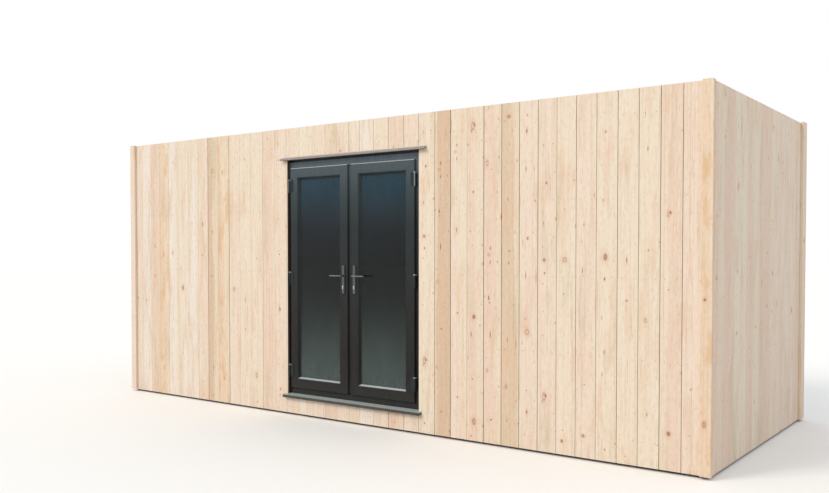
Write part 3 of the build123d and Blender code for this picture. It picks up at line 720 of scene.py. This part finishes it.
# %% Make the corner boards
front_trim_low, front_trim_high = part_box("corner_trims_front")
rear_trim_low, rear_trim_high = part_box("corner_trims_rear")
TRIM_WIDTH = 74 * MM
SIDE_STRIP = 120 * MM
SAWN_OFF = 5 * MM
X_AXIS, Y_AXIS = 0, 1

trims = bmesh.new()
front_top = front_trim_high.z - SAWN_OFF
corner_board(trims, front_trim_low, (front_trim_low.x + TRIM_WIDTH, front_trim_high.y, front_top),
             X_AXIS, -1, (0.052, 0.035, 3.1), "cream")
corner_board(trims, (front_trim_high.x - TRIM_WIDTH, front_trim_low.y, front_trim_low.z),
             (front_trim_high.x, front_trim_high.y, front_top), X_AXIS, -1, (-0.062, 0.030, 9.4), "amber")
front_trims = object_from("corner_boards_front", mesh_from(trims, "corner_boards_front"))

trims = bmesh.new()
rear_board_x = end_high.x
for side, tone in ((-1, "cream"), (1, "pink")):
    inner, outer = sorted((side * (rear_board_x - TRIM_WIDTH), side * rear_board_x))
    corner_board(trims, (inner, rear_high.y, rear_trim_low.z), (outer, rear_trim_high.y, rear_trim_high.z),
                 X_AXIS, 1, (0.02, 0.04, 14.0 + side), tone)
    inner, outer = sorted((side * rear_board_x, side * rear_trim_high.x))
    corner_board(trims, (inner, rear_trim_high.y - SIDE_STRIP, rear_trim_low.z),
                 (outer, rear_trim_high.y, rear_trim_high.z), Y_AXIS, side, (0.045, 0.05, 21.0 + side), tone)
rear_trims = object_from("corner_boards_rear", mesh_from(trims, "corner_boards_rear"))

for piece, node in ((front_trims, "corner_trims_front"), (rear_trims, "corner_trims_rear")):
    piece.data.materials.append(larch)
    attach(piece, "cabin")
    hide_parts(node)
    print(piece.name, len(piece.data.polygons), "faces")

# %% [markdown]
# ## Nails and roof screws
# Every board is held by two stainless nails at each batten, and the roof sheet by one
# hexagon screw in each valley. Both are the same job: a small head, copied onto many
# points. One Geometry Nodes tree does it for both, with a seed for the small difference
# in size that no two hammered heads share.

# %% Tree that drives a head on each mark
fixing_tree, given = new_geometry_tree("drive_fixings", {
    "Head": "NodeSocketObject", "Smallest": "NodeSocketFloat", "Seed": "NodeSocketInt",
    "Metal": "NodeSocketMaterial"})
head_size = add(fixing_tree, "FunctionNodeRandomValue",
                {FLOAT_MIN: given["Smallest"], FLOAT_MAX: 1.0, "Seed": given["Seed"]},
                data_type="FLOAT").outputs[FLOAT_RESULT]
head_info = add(fixing_tree, "GeometryNodeObjectInfo", {"Object": given["Head"]})
driven = add(fixing_tree, "GeometryNodeInstanceOnPoints",
             {"Points": given["Geometry"], "Instance": head_info.outputs["Geometry"], "Scale": head_size})
kept = add(fixing_tree, "GeometryNodeRealizeInstances", {"Geometry": driven.outputs[0]}).outputs[0]
coated = add(fixing_tree, "GeometryNodeSetMaterial", {"Geometry": kept, "Material": given["Metal"]})
add(fixing_tree, "NodeGroupOutput", {"Geometry": coated.outputs[0]})


# %% A turned head
def turned(name, profile, sides):
    """Turn a profile of (radius, height) points round the Z axis, from the rim up."""
    bm = bmesh.new()
    rings = []
    for radius, level in profile:
        angles = [2 * pi * k / sides for k in range(sides)]
        rings.append([bm.verts.new((radius * cos(a), radius * sin(a), level)) for a in angles])
    for lower, upper in zip(rings, rings[1:]):
        for k in range(sides):
            bm.faces.new((lower[k], lower[(k + 1) % sides], upper[(k + 1) % sides], upper[k]))
    bm.faces.new(rings[-1])
    bm.faces.new(rings[0][::-1])
    return mesh_from(bm, name)


NAIL_RADIUS = 2.8 * MM
NAIL_PROUD = 0.3 * MM
NAIL_SUNK = 1.0 * MM
nail_profile = [(NAIL_RADIUS * 0.9, -NAIL_SUNK), (NAIL_RADIUS, NAIL_PROUD / 2),
                (NAIL_RADIUS * 0.7, NAIL_PROUD)]
nail_mesh = turned("nail_head", nail_profile, 10)
nail_mesh.transform(Matrix.Rotation(pi / 2, 4, "X"))
nail_head = object_from("nail_head", nail_mesh)
stainless, tree, shader = new_material("stainless_nail", Metallic=1.0, Roughness=0.42,
                                       Base_Color=hex_colour("#a39c92"))
nail_mesh.materials.append(stainless)


# %% Mark and drive the nails of one wall
NAILS_APART = 0.29
NARROW_BOARD = 70 * MM
BATTEN_LEVELS = [190 * MM, 745 * MM, 1300 * MM, 1855 * MM, 2420 * MM]
LEVEL_PLAY = 5 * MM
RAIL_LEVEL = 78 * MM


def points_object(name, points):
    """Loose vertices as an object, for a tree to put things on."""
    mesh = bpy.data.meshes.new(name)
    mesh.from_pydata(points, [], [])
    return object_from(name, mesh)


def nail_wall(name, joints, turn, position, seed, clear=None, extra=()):
    """Two nails in each board on each batten, placed as the wall's boards are.

    clear gives the low and high x of a doorway, where only the short boards get nails.
    extra are more points, such as those in the corner boards."""
    random = np.random.default_rng(seed)
    points = list(extra)
    for left, right in zip(joints[:-1], joints[1:]):
        width = right - left
        sides = (0,) if width < NARROW_BOARD else (-NAILS_APART, NAILS_APART)
        spots = [(left + right) / 2 + side * width for side in sides]
        for x in spots:
            in_doorway = clear is not None and clear[0] < x < clear[1]
            levels = [RAIL_LEVEL, BATTEN_LEVELS[-1]] if in_doorway else BATTEN_LEVELS
            for level in levels:
                dx, dz = random.uniform(-LEVEL_PLAY, LEVEL_PLAY, 2)
                points.append((x + dx / 2, -BOARD_THICKNESS, level + dz - front_low.z))
    wall_marks = points_object(name + "_marks", points)
    mesh = grow(name, wall_marks, fixing_tree,
                {"Head": nail_head, "Smallest": 0.9, "Seed": seed, "Metal": stainless})
    bpy.data.objects.remove(wall_marks)
    mesh.transform(Matrix.Translation(position) @ Matrix.Rotation(turn, 4, "Z"))
    piece = object_from(name, mesh)
    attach(piece, "cabin")
    print(name, len(points), "nails,", len(mesh.polygons), "faces")


trim_face = -BOARD_THICKNESS - (front_trim_high.y - front_trim_low.y)
trim_nails = [(x, trim_face, level - front_low.z) for level in BATTEN_LEVELS
              for x in (front_trim_low.x + TRIM_WIDTH / 2, front_trim_high.x - TRIM_WIDTH / 2)]
nail_wall("nails_front", front_edges, 0, wall_back, 61, (over_low.x, over_high.x), trim_nails)
for name, (joints, turn, back) in plain_walls.items():
    nail_wall(name.replace("boards", "nails"), joints, turn, back, 62 + len(name))

# %% Drive the roof screws
WASHER_RADIUS, WASHER_HEIGHT = 8 * MM, 1.5 * MM
HEXAGON_RADIUS, HEXAGON_HEIGHT = 4.6 * MM, 6 * MM
washer = turned("roof_screw", [(WASHER_RADIUS, 0), (WASHER_RADIUS, WASHER_HEIGHT * 0.7),
                               (WASHER_RADIUS * 0.85, WASHER_HEIGHT)], 12)
hexagon = turned("hexagon", [(HEXAGON_RADIUS, WASHER_HEIGHT * 0.8), (HEXAGON_RADIUS, HEXAGON_HEIGHT * 0.9),
                             (HEXAGON_RADIUS * 0.85, HEXAGON_HEIGHT)], 6)
both = bmesh.new()
both.from_mesh(washer)
both.from_mesh(hexagon)
screw_head = object_from("roof_screw", mesh_from(both, "roof_screw"))
sheet_low, sheet_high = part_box("roof_sheet")
RIB_COUNT = 28
VALLEY_SHIFT = 10 * MM
SHEET = 2 * MM
RAIL_MIDDLE = 40 * MM
rib_pitch = (sheet_high.x - sheet_low.x) / RIB_COUNT
rail_y = sheet_high.y - RAIL_MIDDLE
screw_points = [(sheet_low.x + k * rib_pitch + VALLEY_SHIFT, side * rail_y, sheet_low.z + SHEET)
                for k in range(1, RIB_COUNT) for side in (-1, 1)]
screw_marks = points_object("roof_screw_marks", screw_points)
zinc, tree, shader = new_material("zinc_plated_screw", Metallic=1.0, Roughness=0.35,
                                  Base_Color=hex_colour("#b9bab8"))
screw_head.data.materials.append(zinc)
screw_mesh = grow("roof_screws", screw_marks, fixing_tree,
                  {"Head": screw_head, "Smallest": 0.97, "Seed": 5, "Metal": zinc})
roof_screws = object_from("roof_screws", screw_mesh)
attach(roof_screws, "cabin")
print("roof screws:", len(screw_points))

# %% [markdown]
# ## Rubber seals round the glass and the leaves
# Black rubber closes every joint of the door: a thin lip between bead and glass on both
# sides, and a soft tube behind the edge of each leaf. All are a section swept round a
# rectangle with mitred corners, so one function makes them, and also the aluminium
# spacer that holds the two panes of the sealed unit apart.


# %% A section swept round a rectangle
def swept_round(bm, low, high, section):
    """Sweep (inset, y) points round the x and z limits of a rectangle, with mitred corners."""
    corners = [(low.x, low.z, 1, 1), (high.x, low.z, -1, 1), (high.x, high.z, -1, -1), (low.x, high.z, 1, -1)]
    rings = [[bm.verts.new((x + sx * inset, y, z + sz * inset)) for inset, y in section]
             for x, z, sx, sz in corners]
    for k, ring in enumerate(rings):
        following = rings[(k + 1) % len(rings)]
        for n in range(len(section)):
            m = (n + 1) % len(section)
            bm.faces.new((ring[n], following[n], following[m], ring[m]))


def lip(start, reach, level, height):
    """A small rubber lip on a surface at y = level: its foot, its nose and its slope."""
    return [(start, level), (start + reach, level), (start + reach * 0.8, level + height * 0.6),
            (start + reach * 0.2, level + height)]


# %% Make the seals and spacers of each leaf
BEAD_WIDTH, GLAZING_LEG = 18 * MM, 14 * MM
FLANGE_DEPTH = 17 * MM
TUBE_INSET, TUBE_WIDTH, TUBE_HEIGHT = 3 * MM, 4 * MM, 3.4 * MM
SPACER_INSET, SPACER_WIDTH = 5 * MM, 12 * MM
PANE = 4 * MM
LIP_OVERLAP, LIP_REACH, LIP_HEIGHT = 1.5 * MM, 5 * MM, 3.5 * MM
rubber, tree, shader = new_material("black_epdm_rubber", Roughness=0.55, Base_Color=hex_colour("#17181a"))
spacer_metal, tree, shader = new_material("warm_edge_spacer", Roughness=0.5, Base_Color=hex_colour("#3c3f41"))
for hand in ("left", "right"):
    sash_low, sash_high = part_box(f"{hand}_sash")
    bead_low, bead_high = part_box(f"{hand}_glazing_beads")
    pane_low, pane_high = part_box(f"{hand}_glass")
    flange_back = sash_low.y + FLANGE_DEPTH
    seals = bmesh.new()
    swept_round(seals, bead_low, bead_high, lip(BEAD_WIDTH - LIP_OVERLAP, LIP_REACH, pane_low.y, -LIP_HEIGHT))
    swept_round(seals, bead_low, bead_high, lip(GLAZING_LEG - LIP_OVERLAP, LIP_REACH, pane_high.y, LIP_HEIGHT))
    tube = [(TUBE_INSET, flange_back), (TUBE_INSET + TUBE_WIDTH, flange_back),
            (TUBE_INSET + TUBE_WIDTH, flange_back + TUBE_HEIGHT / 2),
            (TUBE_INSET + TUBE_WIDTH / 2, flange_back + TUBE_HEIGHT),
            (TUBE_INSET, flange_back + TUBE_HEIGHT / 2)]
    swept_round(seals, sash_low, sash_high, tube)
    seal = object_from(f"{hand}_seals", mesh_from(seals, f"{hand}_seals"))
    seal.data.materials.append(rubber)
    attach(seal, f"{hand}_leaf")
    spacers = bmesh.new()
    spacer_section = [(SPACER_INSET, pane_low.y + PANE), (SPACER_INSET + SPACER_WIDTH, pane_low.y + PANE),
                      (SPACER_INSET + SPACER_WIDTH, pane_high.y - PANE), (SPACER_INSET, pane_high.y - PANE)]
    swept_round(spacers, pane_low, pane_high, spacer_section)
    spacer = object_from(f"{hand}_glass_spacer", mesh_from(spacers, f"{hand}_glass_spacer"))
    spacer.data.materials.append(spacer_metal)
    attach(spacer, f"{hand}_leaf")
print("seals and spacers made")

# %% [markdown]
# ## Dark foil on the door profiles
# The door is welded from plastic profiles wrapped in a satin anthracite foil. Two things
# keep it from looking like plain grey paint. At each corner the weld leaves a fine
# mitred groove, and every ledge that faces the sky is painted pale, partly for a film of
# dust and partly as a painted highlight of the sky, which draws a light line along the
# tops of the leaves and along the lower beads. Both follow from where a point lies and
# which way its surface faces, so no texture is painted. The foil is also painted paler and
# bluer toward the head and browner near the cill, a painted reflection of the sky above
# and the ground below.


# %% Door foil
def surface_place(tree):
    """The place on the model in metres, as a vector and as its three parts."""
    place = add(tree, "ShaderNodeTexCoord").outputs["Object"]
    return place, add(tree, "ShaderNodeSeparateXYZ", {"Vector": place}).outputs


def weld_groove(tree, x, z, centre, low, high, face, width):
    """1 on the four mitre lines of a welded frame. x is measured from the door's middle."""
    off_centre = maths(tree, "ABSOLUTE", maths(tree, "SUBTRACT", x, centre[0]))
    from_side = maths(tree, "SUBTRACT", centre[1], off_centre)
    middle_z, half_z = (low + high) / 2, (high - low) / 2
    from_end = maths(tree, "SUBTRACT", half_z, maths(tree, "ABSOLUTE", maths(tree, "SUBTRACT", z, middle_z)))
    difference = maths(tree, "ABSOLUTE", maths(tree, "SUBTRACT", from_side, from_end))
    groove = maths(tree, "LESS_THAN", difference, width / 2)
    in_corner = maths(tree, "LESS_THAN", maths(tree, "MAXIMUM", from_side, from_end), face)
    return maths(tree, "MULTIPLY", groove, in_corner)


# Painted reflection in the foil, by height in metres: browner low down for the ground, bluer up high for the
# sky.
FOIL_REFLECTION_HEIGHTS = {0.22: "#2d2d2b", 0.45: "#232220", 0.9: "#262625", 1.25: "#2a2d2c", 1.7: "#2e3336",
                1.95: "#394549"}


def height_ramp(tree, level, colours):
    """A colour that changes with height. colours gives a hex value at each height in metres."""
    lowest, highest = min(colours), max(colours)
    share = add(tree, "ShaderNodeMapRange", {"Value": level, "From Min": lowest, "From Max": highest})
    ramp = add(tree, "ShaderNodeValToRGB", {"Fac": share.outputs["Result"]})
    span = highest - lowest
    set_stops(ramp, [((height - lowest) / span, value) for height, value in sorted(colours.items())])
    return ramp.outputs["Color"]


def foil(name, colours, dust_and_highlight, dust_and_highlight_share, jagged, weld=None):
    """Satin anthracite foil. weld gives the arguments of its mitre lines, if it has any."""
    material, tree, shader = new_material(name, Roughness=0.36, Specular_IOR_Level=0.15)
    place, part = surface_place(tree)
    mottle = stretched_noise(tree, place, (60.0, 60.0, 9.0), Detail=3.0)
    # The height ramp is a painted reflection of the sky and the ground.
    colour = height_ramp(tree, part["Z"], colours)
    colour = mixed(tree, faded(tree, mottle, 0.35, 0.7, 0.0, 0.2), colour, hex_colour("#3b3f40"))
    if weld:
        groove = weld_groove(tree, maths(tree, "ABSOLUTE", maths(tree, "SUBTRACT", part["X"], DOOR_MIDDLE)),
                             part["Z"], *weld)
        colour = mixed(tree, groove, colour, hex_colour("#121314"))
    # Upward faces get a pale film: partly dust, partly a painted highlight of the sky.
    ragged = stretched_noise(tree, place, (95.0, 95.0, 95.0), Detail=2.0)
    film = faded(tree, ragged, 0.5 - jagged, 0.5, dust_and_highlight_share * (1 - jagged), dust_and_highlight_share)
    colour = mixed(tree, maths(tree, "MULTIPLY", film, facing_up(tree, 0.35, 0.62)), colour, hex_colour(dust_and_highlight))
    tree.links.new(colour, shader.inputs["Base Color"])
    emboss = stretched_noise(tree, place, (900.0, 900.0, 60.0), Detail=2.0)
    bump = add(tree, "ShaderNodeBump", {"Height": emboss, "Strength": 0.25, "Distance": 0.1 * MM})
    tree.links.new(bump.outputs[0], shader.inputs["Normal"])
    return material


# %% Wrap the profiles
def finish_nodes(material, *names):
    """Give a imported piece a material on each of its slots."""
    for name in names:
        for slot in nodes[name].material_slots:
            slot.material = material
    print(material.name, "on", ", ".join(names))


frame_low, frame_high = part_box("door_frame_left_jamb")
door_low, door_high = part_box("door_frame_head")
DOOR_MIDDLE = (door_low.x + door_high.x) / 2
FRAME_FACE, SASH_FACE = 60 * MM, 84 * MM
GROOVE = 1.4 * MM
frame_weld = ((0.0, (door_high.x - door_low.x) / 2), frame_low.z, frame_high.z, FRAME_FACE, GROOVE)
right_sash_low, right_sash_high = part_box("right_sash")
leaf_middle = (right_sash_low.x + right_sash_high.x) / 2 - DOOR_MIDDLE
leaf_half = (right_sash_high.x - right_sash_low.x) / 2
sash_weld = ((leaf_middle, leaf_half), right_sash_low.z, right_sash_high.z, SASH_FACE, GROOVE)
bead_weld = ((leaf_middle, leaf_half - SASH_FACE), right_sash_low.z + SASH_FACE,
             right_sash_high.z - SASH_FACE, BEAD_WIDTH, GROOVE / 2)
# The head colour is a painted reflection of the sky; on the frame it is paler still, painted light in the
# drip's shadow.
HEAD_REFLECTION = 2.22
# The pale ledge colours are dust and a painted highlight; the sash's is brightest, painted light on its top
# edge in the drip's shadow.
frame_foil = foil("anthracite_frame_foil", {**FOIL_REFLECTION_HEIGHTS, HEAD_REFLECTION: "#6a7880"}, "#6d777b", 0.7, 0.1, frame_weld)
sash_foil = foil("anthracite_sash_foil", {**FOIL_REFLECTION_HEIGHTS, HEAD_REFLECTION: "#525d63"}, "#c3ced4", 0.95, 0.1, sash_weld)
bead_foil = foil("anthracite_bead_foil", {**FOIL_REFLECTION_HEIGHTS, HEAD_REFLECTION: "#3d474b"}, "#aeb8b8", 0.95, 0.22, bead_weld)
cill_foil = foil("anthracite_cill_foil", {0.15: "#55524e", 0.25: "#4c4c4b"}, "#a0a8a6", 0.95, 0.08)
finish_nodes(frame_foil, "door_frame_sill", "door_frame_right_jamb", "door_frame_head",
             "door_frame_left_jamb")
finish_nodes(sash_foil, "left_sash", "right_sash", "floating_mullion")
finish_nodes(bead_foil, "left_glazing_beads", "right_glazing_beads")
finish_nodes(cill_foil, "cill")

# %% [markdown]
# ## Glass
# The panes are sealed units with a dark low-emissivity coating. The solid pane is one
# body of tinted glass: it lets a little of the room through, so the doors read dark by
# day as they do on the real cabin. A faint film is painted on it: blue near the top, a
# painted reflection of the sky, and grey-green near the bottom, for splashed dust and a
# painted reflection of the ground, and thin between them. An IOR below that of bare glass
# stands for the coating, which takes away half the glare.

# %% Tinted glass
tinted_glass, tree, shader = new_material("tinted_sealed_glass", Roughness=0.02, IOR=1.3)
place, part = surface_place(tree)
# Painted reflection: blue of the sky near the top, grey-green of dust and the ground near the bottom.
GLASS_REFLECTION_HEIGHTS = {0.35: "#647372", 0.85: "#4c5a58", 1.2: "#343b3c", 1.65: "#2b363b", 2.1: "#2c4f60"}
tree.links.new(height_ramp(tree, part["Z"], GLASS_REFLECTION_HEIGHTS), shader.inputs["Base Color"])
smears = stretched_noise(tree, place, (5.0, 5.0, 2.0), Detail=4.0, Roughness=0.6)
painted_sky_reflection = faded(tree, part["Z"], 1.3, 2.15, 0.18, 0.62)
dust_and_ground_reflection = faded(tree, part["Z"], 1.1, 0.5, 0.18, 0.46)
film = maths(tree, "MAXIMUM", painted_sky_reflection, dust_and_ground_reflection)
film = maths(tree, "MULTIPLY", film, faded(tree, smears, 0.3, 0.7, 0.85, 1.15))
tree.links.new(maths(tree, "SUBTRACT", 1.0, film), shader.inputs["Transmission Weight"])
finish_nodes(tinted_glass, "left_glass", "right_glass")

# %% [markdown]
# ## Metal on the door
# The hinges are coated dark, with a painted highlight along their top edges and on the
# knuckles of the top hinges. The long plates are satin stainless steel brushed upright,
# the levers are brushed along their length, and the lock cylinders are bright. Brushing
# is a noise stretched along one axis, which changes the roughness a little from line to line.


# %% Brushed metal
def brushed(name, colour, roughness, per_metre):
    """A metal whose fine scratches run along the axis with the fewest waves."""
    material, tree, shader = new_material(name, Metallic=1.0)
    scratches = stretched_noise(tree, surface_place(tree)[0], per_metre, Detail=2.0)
    uneven = faded(tree, scratches, 0.3, 0.7, roughness - 0.06, roughness + 0.06)
    tree.links.new(uneven, shader.inputs["Roughness"])
    in_scratch = faded(tree, scratches, 0.3, 0.7, 0.0, 0.22)
    shade = mixed(tree, in_scratch, hex_colour(colour), hex_colour("#4a4846"))
    tree.links.new(shade, shader.inputs["Base Color"])
    return material


plate_steel = brushed("satin_plate", "#5f6265", 0.36, (900.0, 900.0, 12.0))
lever_steel = brushed("satin_lever", "#7c7c82", 0.30, (14.0, 700.0, 700.0))
chrome, tree, shader = new_material("bright_cylinder", Metallic=1.0, Roughness=0.16,
                                    Base_Color=hex_colour("#b9b9b8"))
finish_nodes(plate_steel, "left_handle_plates", "right_handle_plates")
finish_nodes(lever_steel, "left_lever", "right_lever")
finish_nodes(chrome, "left_cylinder", "right_cylinder")

# %% Coated hinges, with a painted highlight at their top edges and on the top knuckles
HINGE_LEVELS = [403 * MM, 1241 * MM, 2071 * MM]
TOP_EDGE, EDGE_BAND, EDGE_STARTS = 53 * MM, 12 * MM, 688 * MM
KNUCKLE_REACH = 9 * MM
GLINT_ABOVE = 1.6
hinge_coat, tree, shader = new_material("coated_hinge", Roughness=0.36, Specular_IOR_Level=0.15)
part = surface_place(tree)[1]
knuckle_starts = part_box("right_hinge_flags")[1].x - DOOR_MIDDLE - KNUCKLE_REACH
from_middle = maths(tree, "ABSOLUTE", maths(tree, "SUBTRACT", part["X"], DOOR_MIDDLE))
# Painted highlight: the knuckles of the top hinges are bright steel.
glinting_knuckle = maths(tree, "MULTIPLY", maths(tree, "GREATER_THAN", from_middle, knuckle_starts),
                maths(tree, "GREATER_THAN", part["Z"], GLINT_ABOVE))
# Painted highlight: a pale band along the top edge of each hinge.
painted_top_glint = 0.0
for level in HINGE_LEVELS:
    band = maths(tree, "COMPARE", part["Z"], level + TOP_EDGE, EDGE_BAND / 2)
    painted_top_glint = maths(tree, "MAXIMUM", band, painted_top_glint)
painted_top_glint = maths(tree, "MULTIPLY", painted_top_glint, maths(tree, "GREATER_THAN", from_middle, EDGE_STARTS))
knuckle_glint_colour = mixed(tree, glinting_knuckle, hex_colour("#2e3335"), hex_colour("#858b8f"))
tree.links.new(mixed(tree, painted_top_glint, knuckle_glint_colour, hex_colour("#989ba0")), shader.inputs["Base Color"])
glinting_steel = maths(tree, "MULTIPLY", glinting_knuckle, maths(tree, "SUBTRACT", 1.0, painted_top_glint))
tree.links.new(glinting_steel, shader.inputs["Metallic"])
finish_nodes(hinge_coat, "left_hinge_flags", "right_hinge_flags", "left_hinge_seats", "right_hinge_seats")

# %% [markdown]
# ## Steel, sheet, deck and lining
# Most of these show only through the open door or from above. The frame is sprayed
# dark grey, the roof sheet has a pale factory coating with a little grime in its
# valleys, the deck is plywood, and the wall panels are white inside, with a black
# breather membrane on the side that faces the boards.

# %% Sprayed steel and coated roof sheet
frame_paint, tree, shader = new_material("sprayed_frame_steel", Roughness=0.5)
place, part = surface_place(tree)
orange_peel = stretched_noise(tree, place, (260.0, 260.0, 260.0), Detail=2.0)
road_dirt = maths(tree, "MULTIPLY", faded(tree, part["Z"], 0.16, 0.02),
                  stretched_noise(tree, place, (14.0, 14.0, 14.0), Detail=4.0))
sprayed = mixed(tree, road_dirt, hex_colour("#3a3e41"), hex_colour("#6d655a"))
tree.links.new(sprayed, shader.inputs["Base Color"])
bump = add(tree, "ShaderNodeBump", {"Height": orange_peel, "Strength": 0.3, "Distance": 0.15 * MM})
tree.links.new(bump.outputs[0], shader.inputs["Normal"])
finish_nodes(frame_paint, "base_rails", "floor_joists", "feet", "corner_posts", "roof_rails", "roof_joists")

roof_coat, tree, shader = new_material("coated_roof_sheet", Roughness=0.45)
place, part = surface_place(tree)
valley = faded(tree, part["Z"], sheet_low.z + 8 * MM, sheet_low.z + SHEET)
cloudy = stretched_noise(tree, place, (5.0, 1.2, 5.0), Detail=5.0, Roughness=0.6)
grime = maths(tree, "MULTIPLY", valley, cloudy)
tree.links.new(mixed(tree, grime, hex_colour("#b4b9bb"), hex_colour("#85837c")), shader.inputs["Base Color"])
finish_nodes(roof_coat, "roof_sheet")

# %% Plywood deck and wall lining
plywood, tree, shader = new_material("birch_plywood", Roughness=0.5)
place, part = surface_place(tree)
SHEET_WIDTH, SHEET_JOINT, PLY = 1.22, 1.0 * MM, 1.8 * MM
figure = stretched_noise(tree, place, (9.0, 1.4, 40.0), Detail=5.0, Roughness=0.6)
flat = mixed(tree, faded(tree, figure, 0.3, 0.7), hex_colour("#d9bd93"), hex_colour("#bf9c6f"))
plies = maths(tree, "LESS_THAN", maths(tree, "FRACT", maths(tree, "DIVIDE", part["Z"], 2 * PLY)), 0.5)
edge = mixed(tree, plies, hex_colour("#dcc29a"), hex_colour("#a98558"))
colour = mixed(tree, facing_up(tree, 0.4, 0.6), edge, flat)
joint_x = maths(tree, "LESS_THAN", maths(tree, "PINGPONG", part["X"], SHEET_WIDTH / 2), SHEET_JOINT)
tree.links.new(mixed(tree, joint_x, colour, hex_colour("#5b452e")), shader.inputs["Base Color"])
finish_nodes(plywood, "floor_deck")

lining, tree, shader = new_material("white_lining_and_membrane", Roughness=0.55)
part = surface_place(tree)[1]
LINING_BOARD, LINING_JOINT = 1.2, 1.2 * MM
end_panel, front_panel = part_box("wall_left_end"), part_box("wall_front_left")
end_middle = abs(end_panel[0].x + end_panel[1].x) / 2
front_middle = abs(front_panel[0].y + front_panel[1].y) / 2
beyond_x = maths(tree, "SUBTRACT", maths(tree, "ABSOLUTE", part["X"]), end_middle)
beyond_y = maths(tree, "SUBTRACT", maths(tree, "ABSOLUTE", part["Y"]), front_middle)
outside = maths(tree, "GREATER_THAN", maths(tree, "MAXIMUM", beyond_x, beyond_y), 0.0)
along_wall = maths(tree, "ADD", part["X"], part["Y"])
board_joint = maths(tree, "LESS_THAN", maths(tree, "PINGPONG", along_wall, LINING_BOARD / 2), LINING_JOINT)
white = mixed(tree, board_joint, hex_colour("#e3e2de"), hex_colour("#c9c8c3"))
tree.links.new(mixed(tree, outside, white, hex_colour("#202224")), shader.inputs["Base Color"])
finish_nodes(lining, "wall_front_left", "wall_front_right", "wall_over_door", "wall_rear", "wall_left_end",
             "wall_right_end", "ceiling_lining")

# %% Sawn battens, and a painted drip with a line of sealant along its top
sawn, tree, shader = new_material("sawn_treated_softwood", Roughness=0.8)
saw_marks = stretched_noise(tree, surface_place(tree)[0], (3.0, 3.0, 90.0), Detail=4.0)
tree.links.new(mixed(tree, faded(tree, saw_marks, 0.3, 0.7), hex_colour("#b8a878"), hex_colour("#8f8457")),
               shader.inputs["Base Color"])
finish_nodes(sawn, "battens")

drip_low, drip_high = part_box("head_drip")
SEALANT_HEIGHT, SEALANT_DEPTH = 8 * MM, 5 * MM
DRIP_EDGE = 2 * MM
sealant_outline = [(0, 0), (-SEALANT_DEPTH, 0), (0, SEALANT_HEIGHT)]
sealant_mesh = extruded("drip_sealant", sealant_outline, drip_high.x - drip_low.x)
along_x = Matrix(((0, 0, 1, drip_low.x), (1, 0, 0, front_low.y), (0, 1, 0, drip_high.z), (0, 0, 0, 1)))
sealant_mesh.transform(along_x)
sealant_paste, tree, shader = new_material("pale_sealant", Roughness=0.6, Base_Color=hex_colour("#c9bbae"))
sealant_mesh.materials.append(sealant_paste)
sealant = object_from("drip_sealant", sealant_mesh)
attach(sealant, "cabin")

drip_paint, tree, shader = new_material("painted_drip", Roughness=0.42, Specular_IOR_Level=0.25)
place, part = surface_place(tree)
film = stretched_noise(tree, place, (20.0, 20.0, 20.0), Detail=3.0)
painted = mixed(tree, faded(tree, film, 0.35, 0.7, 0.0, 0.5), hex_colour("#9a9493"), hex_colour("#b0a8a5"))
# Painted shade: the lowest 2 mm of the drip are dark, for the shade under it.
painted_shade_edge = maths(tree, "LESS_THAN", part["Z"], drip_low.z + DRIP_EDGE)
tree.links.new(mixed(tree, painted_shade_edge, painted, hex_colour("#3f3b3a")), shader.inputs["Base Color"])
finish_nodes(drip_paint, "head_drip")

# %% Remove the helpers
for helper in (blank, marks, nail_head, screw_head, screw_marks):
    bpy.data.objects.remove(helper)
